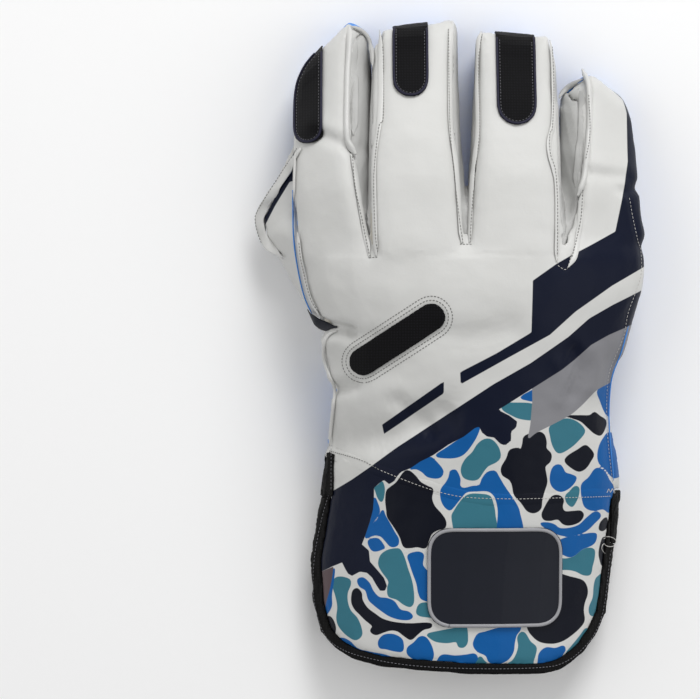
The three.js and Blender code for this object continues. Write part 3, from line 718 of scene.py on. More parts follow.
@dataclass(frozen=True)
class Plain:
    """A small or distant thing of one colour with a faint mottling, of a size in millimetres."""

    name: str
    colour: str
    roughness: float
    mottle: float = 0.04
    gloss: float = 0.3
    spot: float = 6.25

    def material(self) -> bpy.types.Material:
        """Makes the material."""
        material, tree, surface = new_material(self.name)
        drift = add_node(
            tree, "TexNoise", {"Scale": per_metre(self.spot), "Detail": 2.0}, {"Vector": place(tree)},
        )
        light = linear(self.colour)
        dark = tuple(c * (1 - 4 * self.mottle) for c in light[:3]) + (1.0,)
        colour = add_node(
            tree, "Mix", {"data_type": "RGBA", 6: dark, 7: light}, {0: drift.outputs["Fac"]},
        )
        tree.links.new(colour.outputs[2], surface.inputs["Base Color"])
        surface.inputs["Roughness"].default_value = self.roughness
        surface.inputs["Specular IOR Level"].default_value = self.gloss
        return material


# The glove's skin as one surface


@dataclass(frozen=True)
class Fold:
    """A crease or swelling along a charted line: height and half width in millimetres.

    Sides says how far walls that stand upright take part, from 0 to 1.
    """

    line: Plan
    height: float
    width: float
    sides: float = 0.0


@dataclass(frozen=True)
class Lean:
    """Padded leather that leans across the glove, from beside an edge up to a limit, in millimetres.

    The edge holds X at the places along the glove in ALONG, and SOLE the height of the fingers' soles there.
    """

    edge: tuple[float, ...]
    fade: float
    limit: float
    shift: float
    above_sole: bool = True

    ALONG = (42.0, 78.0, 96.0, 114.0, 127.0, 150.0)
    SOLE = (42.0, 35.0, 29.0, 21.0, 15.0, 5.0)

    def moved(self, at: np.ndarray) -> np.ndarray:
        """Gives the shift across of places in millimetres."""
        first_root, last_root, near_sole = 50.0, 58.0, 4.0
        x, y, z = at.T
        start = np.interp(y, self.ALONG, self.edge)
        weight = soft_step((x - start) / self.fade, 0.0, 1.0) * soft_step(y, first_root, last_root)
        weight *= (x - self.limit) * np.sign(self.fade) < 0
        if self.above_sole:
            sole = np.interp(y, self.ALONG, self.SOLE)
            weight *= soft_step(z, sole - near_sole, sole + near_sole)
        return self.shift * weight


@dataclass(frozen=True)
class Shoulder:
    """A fingertip sewn flat, so that its corners reach nearly as far as its middle, in millimetres."""

    centre: float
    half: float
    start: float
    full: float
    left: float
    right: float
    keep: float = 1.14
    edge: float = 1.15

    def moved(self, at: np.ndarray) -> np.ndarray:
        """Gives the shift along of places in millimetres."""
        squareness = 3
        away = np.abs(at[:, 0] - self.centre) / self.half
        weight = np.minimum(away, 1.0) ** squareness * (1 - soft_step(away, self.keep, self.edge))
        rise = np.where(at[:, 0] < self.centre, self.left, self.right)
        return rise * weight * soft_step(at[:, 1], self.start, self.full)


def soft_step(value: np.ndarray, low: Any, high: Any) -> np.ndarray:
    """Rises smoothly from 0 at low to 1 at high."""
    share = np.clip((value - low) / (high - low), 0, 1)
    return share * share * (3 - 2 * share)


def fold_rise(folds: Sequence[Fold], points: np.ndarray, out: np.ndarray) -> np.ndarray:
    """Works out how high folds lift a surface.

    Args:
        folds: The folds.
        points: Corners of the surface, in metres.
        out: Their normals.

    Returns:
        The rise of each corner along its normal, in metres.
    """
    rise = np.zeros(len(points))
    flat = points[:, :2] / MM
    for fold in folds:
        line = smooth_outline(plan(fold.line), False, 3)
        reach = 3 * fold.width
        low, high = line.min(axis=0) - reach, line.max(axis=0) + reach
        near = np.all((flat > low) & (flat < high), axis=1)
        away = segment_distance(flat[near], line)
        facing = np.clip(out[near, 2] + fold.sides, 0, 1)
        rise[near] += fold.height * MM * np.exp(-((away / fold.width) ** 2)) * facing
    return rise


@dataclass
class GloveSkin:
    """All leather and rubber walls taken as one soft surface, which says how far each point moves."""

    nodes: Sequence[str]
    voxel: float = 1.6
    rounds: int = 8
    broad_rounds: int = 40
    most: float = 1.0
    folds: Sequence[Fold] = ()
    leans: Sequence[Lean] = ()
    shoulders: Sequence[Shoulder] = ()
    before: np.ndarray = field(init=False)
    after: np.ndarray = field(init=False)
    tree: KDTree = field(init=False)

    def __post_init__(self) -> None:
        """Smooths the joined walls, takes out their facets, and folds and leans them."""
        work = bmesh.new()
        for name in self.nodes:
            work.from_mesh(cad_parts[name].data)
        mesh = bpy.data.meshes.new("skin")
        work.to_mesh(mesh)
        work.free()
        rough = bpy.data.objects.new("skin", mesh)
        bpy.context.scene.collection.objects.link(rough)
        remeshed = baked(rough, [("REMESH", {"mode": "VOXEL", "voxel_size": self.voxel * MM})])
        rough.data = remeshed
        self.before = coordinates(remeshed)
        smoothed = baked(rough, [("SMOOTH", {"factor": HALFWAY, "iterations": self.rounds})])
        broad = baked(rough, [("SMOOTH", {"factor": HALFWAY, "iterations": self.broad_rounds})])
        points, out = coordinates(smoothed), normals(smoothed)
        inward = ((coordinates(broad) - points) * out).sum(axis=1)
        points += out * np.clip(inward, -self.most * MM, self.most * MM)[:, None]
        out[faces_hollow(self.before, out)] *= -1
        folded = points + out * fold_rise(self.folds, points, out)[:, None]
        shift = np.zeros_like(points)
        for lean in self.leans:
            shift[:, 0] += lean.moved(self.before / MM)
        for shoulder in self.shoulders:
            shift[:, 1] += shoulder.moved(self.before / MM)
        self.after = folded + shift * MM
        bpy.data.objects.remove(rough)
        self.tree = KDTree(len(self.before))
        for k, point in enumerate(self.before):
            self.tree.insert(point, k)
        self.tree.balance()

    def warp(self, points: np.ndarray) -> np.ndarray:
        """Moves points as the skin round them moves.

        Args:
            points: Places, a row each.

        Returns:
            The moved places.
        """
        moved = self.after - self.before
        result = points.copy()
        near, least = 4, 1e-5
        for k, point in enumerate(points):
            found = self.tree.find_n(point, near)
            weights = np.array([1 / (distance + least) for _, _, distance in found])
            shift = sum(w * moved[index] for w, (_, index, _) in zip(weights, found))
            result[k] += shift / weights.sum()
        return result


# Dressed pieces


class Side(Enum):
    """From which side something is laid on the glove."""

    BACK = -1.0
    PALM = 1.0


# Middles of the hollows for hand and digits, as X, Y and Z in millimetres. Leather that faces them is lined.
HOLLOWS = {
    "index": [(-50, 45, 48), (-60, 75, 45), (-62, 110, 32), (-62, 145, 12)],
    "middle": [(-15, 45, 52), (-15, 80, 48), (-15, 115, 34), (-15, 150, 12)],
    "ring": [(33, 45, 52), (33, 80, 47), (34, 115, 33), (35, 148, 12)],
    "little": [(75, 45, 40), (80, 70, 34), (81, 95, 26), (80, 120, 12)],
    "thumb": [(-40, -10, 22), (-55, 20, 18), (-76, 55, 15)],
}


def faces_hollow(points: np.ndarray, out: np.ndarray) -> np.ndarray:
    """Tells which corners of a wall face the hollow for the hand.

    Args:
        points: Corners in metres, a row each.
        out: Their normals.

    Returns:
        True for each corner on the inside of the glove.
    """
    at = points / MM
    roots, lean, hand_reach, thumb_reach = 45.0, 0.6, 34.0, 22.0
    height = np.interp(at[:, 1], [-165, -75, 0, 45], [18, 24, 42, 50])
    core = np.stack([lean * at[:, 0], at[:, 1], height], axis=1)
    best = np.where(at[:, 1] < roots, hand_reach, np.inf)
    for name, line in HOLLOWS.items():
        for a, b in zip(np.array(line[:-1], float), np.array(line[1:], float)):
            way = b - a
            share = np.clip(((at - a) @ way) / (way @ way), 0, 1)
            middle = a + share[:, None] * way
            away = np.linalg.norm(at - middle, axis=1)
            wanted = away < (np.minimum(best, thumb_reach) if name == "thumb" else best)
            if name != "thumb":
                wanted &= at[:, 1] > roots
            core[wanted] = middle[wanted]
            best[wanted] = away[wanted]
    return ((at - core) * out).sum(axis=1) < 0


def print_depths(points: np.ndarray, web: bool = False) -> dict[str, np.ndarray]:
    """Works out how deep each corner lies inside each printed colour.

    Args:
        points: Corners in metres, a row each.
        web: Whether it is the web, which has a single stripe.

    Returns:
        Depth in millimetres for each colour, below zero outside.
    """
    flat = points[:, :2] / MM
    spread = 0.45
    groups = {
        "navy": (list(BANDS.values()), 1, 0.0),
        "silver": ([SILVER], 3, 0.0),
        # The dark greyish-mauve group is painted shade on the silver print at the cuff's lower left.
        "silver_painted_shade": ([SILVER_PAINTED_SHADE], 3, 0.0),
        "blue": (BLUE_BLOBS, 5, spread),
        "teal": (TEAL_BLOBS, 5, spread),
        "ink": (INK_BLOBS, 5, spread),
    }
    if web:
        groups = {name: ([], 1, 0.0) for name in groups} | {"navy": ([WEB_STRIPE], 1, 0.0)}
    depths = {}
    far = -9.0
    for name, (group, steps, wider) in groups.items():
        depth = np.full(len(flat), far)
        for corners in group:
            outline = smooth_outline(plan(corners), True, steps)
            low, high = outline.min(axis=0) + far, outline.max(axis=0) - far
            near = np.all((flat > low) & (flat < high), axis=1)
            depth[near] = np.maximum(depth[near], inside_depth(flat[near], outline) + wider)
        depths[name] = depth
    return depths


def set_depths(mesh: bpy.types.Mesh, depths: dict[str, np.ndarray]) -> None:
    """Keeps the depths inside the printed colours with a mesh."""
    for name, depth in depths.items():
        mesh.attributes.new(name, "FLOAT", "POINT").data.foreach_set("value", depth.astype(np.float32))


@dataclass
class Wall:
    """A wall of the glove that stands for one CAD node."""

    node: str
    finish: bpy.types.Material
    slot: str
    lining: bpy.types.Material | None = None
    voxel: float = 1.5
    softness: int = 3
    fill: float = 0.0
    printed: bool = False
    creases: Sequence[Fold] = ()
    wobble: float = 0.0

    def build(self, skin: GloveSkin) -> bpy.types.Object:
        """Copies the node, softens it and moves it with the skin.

        Args:
            skin: The soft surface of the whole glove.

        Returns:
            The finished piece.
        """
        mesh = baked(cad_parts[self.node], [
            ("REMESH", {"mode": "VOXEL", "voxel_size": self.voxel * MM, "use_smooth_shade": True}),
            ("SMOOTH", {"factor": HALFWAY, "iterations": self.softness}),
        ])
        straight, upright = coordinates(mesh), normals(mesh)
        set_coordinates(mesh, skin.warp(straight))
        points, out = coordinates(mesh), normals(mesh)
        rise = fold_rise(self.creases, points, out)
        if self.wobble:
            rise += self.wobble * MM * hand_made(points)
        points += out * rise[:, None]
        points[:, 2] = np.maximum(points[:, 2], 0.0)
        set_coordinates(mesh, points)
        piece = bpy.data.objects.new("soft_" + self.node, mesh)
        bpy.context.scene.collection.objects.link(piece)
        mesh.materials.clear()
        mesh.materials.append(self.finish)
        if self.printed:
            set_depths(mesh, print_depths(points, self.node == "thumb_back"))
        if self.lining:
            mesh.materials.append(self.lining)
            inner = faces_hollow(straight, upright)
            for polygon in mesh.polygons:
                if all(inner[k] for k in polygon.vertices):
                    polygon.material_index = 1
        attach(piece, "root")
        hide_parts(self.node)
        LOG.info("%s: %d faces", piece.name, len(mesh.polygons))
        return piece


def hand_made(points: np.ndarray) -> np.ndarray:
    """Gives the slight unevenness of sewn leather over padding, from -1 to 1."""
    dent, finer, share = 16, 2.7, 0.4
    places = [Vector(p / (dent * MM)) for p in points]
    return np.array([noise.noise(p) + share * noise.noise(finer * p) for p in places])


# Seams, stitches and pimples laid on the walls


STITCH_STEP, SEAM_STEP = 0.25, 0.8  # distances in millimetres between the places of a laid line


@dataclass
class Laid:
    """A line laid on the glove: its places in metres and the normals there."""

    points: np.ndarray
    out: np.ndarray


@dataclass
class Ground:
    """The dressed walls as a surface that seams and stitches lie on."""

    pieces: Sequence[bpy.types.Object]
    tree: BVHTree = field(init=False)

    def __post_init__(self) -> None:
        """Joins the pieces into one search tree."""
        corners: list[tuple[float, ...]] = []
        faces: list[list[int]] = []
        for piece in self.pieces:
            base = len(corners)
            corners += [tuple(v.co) for v in piece.data.vertices]
            faces += [[base + k for k in polygon.vertices] for polygon in piece.data.polygons]
        self.tree = BVHTree.FromPolygons(corners, faces)

    def touch(self, x: float, y: float, side: Side) -> tuple[Vector, Vector] | None:
        """Finds the surface at a place in plan.

        Args:
            x: Place in millimetres.
            y: Place in millimetres.
            side: The side from which it is sought.

        Returns:
            The place in metres and its normal, or None beside the glove.
        """
        start = Vector((x * MM, y * MM, -side.value))
        where, normal, _, _ = self.tree.ray_cast(start, Vector((0, 0, side.value)))
        if where is None:
            return None
        return where, (-normal if normal.z * side.value > 0 else normal)

    def lay(
        self, line: np.ndarray, step: float, side: Side = Side.BACK, reach: float = 0.0,
        carry: bool = False, bridge: bool = False,
    ) -> Laid:
        """Lays a line on the glove.

        Args:
            line: The line in plan, in millimetres.
            step: Distance between the laid places.
            side: The side on which it lies.
            reach: How far to either side the highest leather is sought, to keep a seam on its edge.
            carry: Whether the line runs on past the glove, as high as where it left it.
            bridge: Whether it spans a gap, halfway between the leathers that far to either side.

        Returns:
            The laid line, without the places beside the glove unless they carry it on.
        """
        spaced = even_points(line, step)
        along = np.gradient(spaced, axis=0)
        along /= np.maximum(np.linalg.norm(along, axis=1), 1e-9)[:, None]
        points, out = [], []
        waiting: list[tuple[float, float]] = []
        for (x, y), (dx, dy) in zip(spaced, along):
            shifts = (0.0,) if reach == 0 else (0.0, -reach, reach, -reach / 2, reach / 2)
            if bridge:
                shifts = (-reach, reach)
            found = [self.touch(x - dy * s, y + dx * s, side) for s in shifts]
            hits = [hit for hit in found if hit]
            if hits:
                best = max(hits, key=lambda hit: -side.value * hit[0].z)
                height, facing = best[0].z, best[1]
                if bridge:
                    height = sum(hit[0].z for hit in hits) / len(hits)
                    facing = sum((hit[1] for hit in hits), Vector()).normalized()
                waiting.append((x * MM, y * MM))
                points += [(*place, height) for place in waiting]
                out += [tuple(facing)] * len(waiting)
                waiting.clear()
            elif carry:
                waiting.append((x * MM, y * MM))
        stitch_rounds, seam_rounds = 2, 14
        rounds = stitch_rounds if reach == 0 else seam_rounds
        return Laid(eased(np.array(points), rounds), eased(np.array(out), rounds))


def eased(rows: np.ndarray, rounds: int) -> np.ndarray:
    """Evens out neighbouring rows, with the ends kept."""
    for _ in range(rounds):
        rows = np.vstack([rows[:1], (rows[:-2] + 2 * rows[1:-1] + rows[2:]) / 4, rows[-1:]])
    return rows


@dataclass
class Sewn:
    """Many small swept bodies joined in one piece."""

    name: str
    finish: bpy.types.Material
    slot: str
    corners: list[np.ndarray] = field(default_factory=list)
    faces: list[tuple[int, ...]] = field(default_factory=list)
    count: int = 0

    def sweep(
        self, points: np.ndarray, out: np.ndarray, half: float, height: float, ends: float, around: int,
        closed: bool = False, taper: int = 1,
    ) -> None:
        """Adds a body with an oval section along a line.

        Args:
            points: The line's places in metres.
            out: Normals of what it lies on.
            half: Half its width, in metres.
            height: Half its height, in metres.
            ends: Share of the section at both ends.
            around: Corners of the section.
            closed: Whether the line returns to its start.
            taper: Over how many places the ends thicken.
        """
        if len(points) < 2:
            return
        if closed:
            along = np.roll(points, -1, axis=0) - np.roll(points, 1, axis=0)
        else:
            along = np.gradient(points, axis=0)
        along /= np.maximum(np.linalg.norm(along, axis=1), 1e-12)[:, None]
        across = np.cross(along, out)
        across /= np.maximum(np.linalg.norm(across, axis=1), 1e-12)[:, None]
        up = np.cross(across, along)
        size = np.ones(len(points))
        if not closed:
            place = np.arange(len(points))
            from_end = np.minimum(place, place[::-1])
            size = ends + (1 - ends) * soft_step(from_end, -0.01, min(taper, (len(points) - 1) / 2))
        angles = np.arange(around) * math.tau / around
        for k, angle in enumerate(angles):
            ring = points + size[:, None] * (half * math.cos(angle) * across + height * math.sin(angle) * up)
            self.corners.append(ring)
        total = len(points)
        base = self.count
        last = total if closed else total - 1
        for k in range(around):
            here, there = base + k * total, base + (k + 1) % around * total
            for j in range(last):
                n = (j + 1) % total
                self.faces.append((here + j, here + n, there + n, there + j))
        if not closed:
            self.faces.append(tuple(base + k * total for k in range(around)))
            self.faces.append(tuple(base + k * total + total - 1 for k in reversed(range(around))))
        self.count += around * total

    def stitch(self, laid: Laid, pitch: float, share: float, half: float, lift: float) -> None:
        """Adds a row of stitches.

        Args:
            laid: The laid line, with eight places or more for each stitch.
            pitch: Distance between stitches, in metres.
            share: Share of the pitch that the thread shows.
            half: Half the thread's width, in metres.
            lift: How far the thread's middle is above the leather, in metres.
        """
        if len(laid.points) < 3:
            return
        steps = np.linalg.norm(np.diff(laid.points, axis=0), axis=1)
        travelled = np.concatenate([[0], np.cumsum(steps)])
        sunk, thickness, ends, around = -0.5, 0.8, 0.5, 6
        offsets = np.array([-0.5, -0.34, 0.34, 0.5]) * pitch * share
        for middle in np.arange(pitch / 2, travelled[-1], pitch):
            at = middle + offsets
            places = np.stack([np.interp(at, travelled, laid.points[:, k]) for k in range(3)], axis=1)
            out = np.stack([np.interp(at, travelled, laid.out[:, k]) for k in range(3)], axis=1)
            rise = np.array([sunk, 1.0, 1.0, sunk]) * lift
            self.sweep(places + out * rise[:, None], out, half, thickness * half, ends, around)

    def dot(self, where: np.ndarray, out: np.ndarray, radius: float, height: float) -> None:
        """Adds a low dome.

        Args:
            where: Its middle in metres.
            out: The normal of what it stands on.
            radius: Its radius in metres.
            height: How far it stands out, in metres.
        """
        side = np.cross(out, [1.0, 0.0, 0.0] if abs(out[0]) < 0.8 else [0.0, 1.0, 0.0])
        side /= np.linalg.norm(side)
        other = np.cross(out, side)
        around, sunk, shoulder = 8, -0.25, 0.72
        turn = np.arange(around) * math.tau / around
        ring = np.cos(turn)[:, None] * side + np.sin(turn)[:, None] * other
        self.corners.append(where + radius * ring + sunk * height * out)
        self.corners.append(where + shoulder * radius * ring + shoulder * height * out)
        self.corners.append((where + height * out)[None, :])
        base = self.count
        for k in range(around):
            n = (k + 1) % around
            self.faces.append((base + k, base + n, base + around + n, base + around + k))
            self.faces.append((base + around + k, base + around + n, base + 2 * around))
        self.faces.append(tuple(base + k for k in reversed(range(around))))
        self.count += 2 * around + 1

    def build(self) -> bpy.types.Object:
        """Makes the piece."""
        corners = np.vstack(self.corners)
        corners[:, 2] = np.maximum(corners[:, 2], 0.0)
        piece = mesh_object(self.name, corners, self.faces)
        piece.data.materials.append(self.finish)
        piece.data.shade_smooth()
        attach(piece, "root")
        LOG.info("%s: %d faces", piece.name, len(piece.data.polygons))
        return piece


def outline_of(node: str, grow: float) -> np.ndarray:
    """Gives the outline of a flat node in plan.

    Args:
        node: The CAD node.
        grow: How far outside it the line runs, in millimetres, below zero for inside.

    Returns:
        The line's places in millimetres, the first one again at the end.
    """
    flat = coordinates(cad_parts[node].data)[:, :2] / MM
    hull = flat[convex_hull_2d([tuple(p) for p in flat])]
    rounds = 3
    line = eased(even_points(np.vstack([hull, hull[:1]]), SEAM_STEP), rounds)
    along = np.gradient(line, axis=0)
    along /= np.linalg.norm(along, axis=1)[:, None]
    outward = np.stack([along[:, 1], -along[:, 0]], axis=1)
    turn = np.sign(((line - line.mean(axis=0)) * outward).sum())
    return line + turn * grow * outward


def below_tip(line: np.ndarray) -> np.ndarray:
    """Opens a closed line where it crosses the end of a fingertip.

    Args:
        line: The closed line's places in millimetres.

    Returns:
        The line without its stretch over the tip.
    """
    over = 3.0
    line = line[:-1]
    line = np.roll(line, -int(line[:, 1].argmax()), axis=0)
    return line[line[:, 1] < line[:, 1].max() - over]


def show_camera() -> None:
    """Puts the camera where the photograph was taken from: straight above the glove."""
    height, width, sensor, glove_middle = 2.0, 0.350, 36.0, 0.045
    across, along = -49.25 * MM, -0.9 * MM
    data = bpy.data.cameras.new("camera")
    data.sensor_width = sensor
    data.lens = sensor * (height - glove_middle) / width
    camera = bpy.data.objects.new("camera", data)
    camera.location = (across, along, height)
    bpy.context.scene.collection.objects.link(camera)
    bpy.context.scene.camera = camera


@dataclass(frozen=True)
class Lamp:
    """A square softbox that faces the glove: place and size in metres, power in watts."""

    name: str
    where: tuple[float, float, float]
    size: float
    power: float

    def hang(self) -> None:
        """Adds the lamp to the scene."""
        light = bpy.data.lights.new(self.name, "AREA")
        light.shape, light.size, light.energy = "SQUARE", self.size, self.power
        lamp = bpy.data.objects.new(self.name, light)
        lamp.location = self.where
        lamp.rotation_euler = (-Vector(self.where)).to_track_quat("-Z", "Y").to_euler()
        bpy.context.scene.collection.objects.link(lamp)


LAMPS = (
    Lamp("key", (0.4, 1.5, 1.15), 0.9, 23.0),
    Lamp("fill", (1.3, -0.2, 1.3), 1.4, 7.0),
    Lamp("side", (-1.3, 0.2, 1.2), 1.4, 6.0),
)


def show_stage() -> None:
    """Lays the pale floor and hangs the lights."""
    side, daylight = 3.0, 0.45
    floor = mesh_object(
        "floor", [(-side, -side, 0), (side, -side, 0), (side, side, 0), (-side, side, 0)],
        [(0, 1, 2, 3)],
    )
    floor.data.materials.append(Plain("matt_white_board", "#F4F4F4", 0.9, 0.002).material())
    for lamp in LAMPS:
        lamp.hang()
    world = bpy.data.worlds.new("studio")
    bpy.context.scene.world = world
    world.use_nodes = True
    background = world.node_tree.nodes["Background"]
    background.inputs["Color"].default_value = (1, 1, 1, 1)
    background.inputs["Strength"].default_value = daylight
    bpy.context.scene.view_settings.view_transform = "Standard"


# Soft folds of the padded back and of its wrist.
FOLDS = [
    Fold([(318, 133), (330, 139), (344, 146), (357, 151)], -2.6, 3.2),
    Fold([(314, 122), (330, 127), (346, 133)], 0.9, 4.5),
    Fold([(591.7, 173), (608, 175), (626.7, 175)], -2.0, 3.0),
    Fold([(594, 163), (622, 164)], 0.6, 4.0),
    Fold([(326, 442), (350, 441), (385, 438), (412, 429), (440, 414)], -6.4, 9.5),
    Fold([(352, 458), (392, 452), (432, 444)], 0.8, 5.0),
    Fold([(398, 402), (412, 415), (430, 434)], -2.4, 4.5),
    Fold([(440, 398), (455, 412), (464, 432)], 1.0, 5.0),
    Fold([(340, 400), (362, 396), (390, 388)], 1.2, 7.0),
    Fold([(328, 340), (325, 355), (329, 376)], 3.2, 5.5, 0.6),
    Fold([(318, 325), (333, 329), (348, 333)], -5.6, 3.4, 0.9),
    Fold([(346, 332), (362, 336), (372, 334)], -1.2, 4.0),
    Fold([(320, 392), (335, 389), (352, 384)], -3.8, 3.6, 0.9),
    Fold([(640, 240), (641, 270), (632, 310), (622, 345)], 2.6, 9.0, 1.0),
    Fold([(622, 190), (634, 187), (641, 186)], -2.2, 3.2, 1.0),
    Fold([(592, 350), (597, 370), (592, 388)], 1.7, 4.5),
    Fold([(573, 352), (578, 372), (572, 394)], -2.2, 3.6),
    Fold([(556, 362), (560, 380), (556, 400)], 1.0, 3.6),
    Fold([(436, 334), (470, 337), (508, 331)], -2.2, 7.5),
    Fold([(395, 300), (440, 312), (500, 300)], 1.0, 20.0),
]
TIP_PATCHES = ("index_tip_patch", "middle_tip_patch", "ring_tip_patch")
LEANS = [
    Lean((-36.0, -44.5, -47.7, -48.6, -49.0, -49.0), 3.5, -41.3, 5.0),
    Lean((56.5, 63.5, 66.3, 68.2, 69.5, 69.5), -5.0, 57.5, -5.8),
    Lean((-31.5, -31.5, -31.5, -31.5, -31.5, -31.5), -4.0, -38.5, -1.8),
    Lean((50.0, 50.0, 50.0, 50.0, 50.0, 50.0), 3.5, 56.8, 1.4),
    Lean((80.0, 80.0, 80.0, 80.0, 80.0, 80.0), 8.0, 200.0, 2.4, False),
]
SHOULDERS = [
    Shoulder(-16.2, 19.5, 139.0, 152.0, 6.0, 7.5),
    Shoulder(34.6, 19.0, 134.0, 147.0, 6.0, 9.5),
    Shoulder(-70.0, 20.0, 141.0, 153.0, 0.0, 6.0, 1.0, 1.5),
    Shoulder(-56.0, 20.0, 141.0, 153.0, 0.0, -5.5),
    Shoulder(80.0, 14.0, 117.0, 135.0, -8.5, 0.0, 2.0, 2.1),
]


def stitch_creases() -> list[Fold]:
    """Gives the shallow valleys that threads pull into leather."""
    valley, half = -0.55, 1.5
    pulled = GREY_ROWS[:7] + WHITE_ROWS
    return [Fold(row, valley, half) for row in pulled]


def smooth_track(line: Plan, steps: int = 6) -> np.ndarray:
    """Gives a charted line as a smooth track in millimetres in the CAD frame."""
    return smooth_outline(plan(line), False, steps)


@dataclass(frozen=True)
class Roll:
    """The oval section of a seam or cord and how it is laid, in millimetres."""

    half: float
    height: float
    reach: float = 0.0
    ends: float = 0.3
    around: int = 12
    taper: int = 6
    lift: float = 0.0
    carry: bool = True
    bridge: bool = False
    closed: bool = False
    step: float = SEAM_STEP

    def lay(self, ground: Ground, track: np.ndarray, body: Sewn) -> None:
        """Lays the section along a track.

        Args:
            ground: What it lies on.
            track: Its places in plan, in millimetres.
            body: The piece that it becomes part of.
        """
        laid = ground.lay(track, self.step, reach=self.reach, carry=self.carry, bridge=self.bridge)
        body.sweep(
            laid.points + self.lift * MM * laid.out, laid.out, self.half * MM, self.height * MM, self.ends,
            self.around, self.closed, self.taper,
        )


@dataclass(frozen=True)
class Stitching:
    """A kind of stitch in millimetres: its pitch, half the thread's width, and the lift of its middle.

    Share is the part of the pitch that the thread shows.
    """

    pitch: float
    share: float
    half: float
    lift: float

    def lay(self, ground: Ground, track: np.ndarray, body: Sewn, side: Side = Side.BACK) -> None:
        """Lays a row of stitches along a track.

        Args:
            ground: What they lie on.
            track: Their places in plan, in millimetres.
            body: The piece that they become part of.
            side: The side on which they lie.
        """
        laid = ground.lay(track, STITCH_STEP, side)
        body.stitch(laid, self.pitch * MM, self.share, self.half * MM, self.lift * MM)


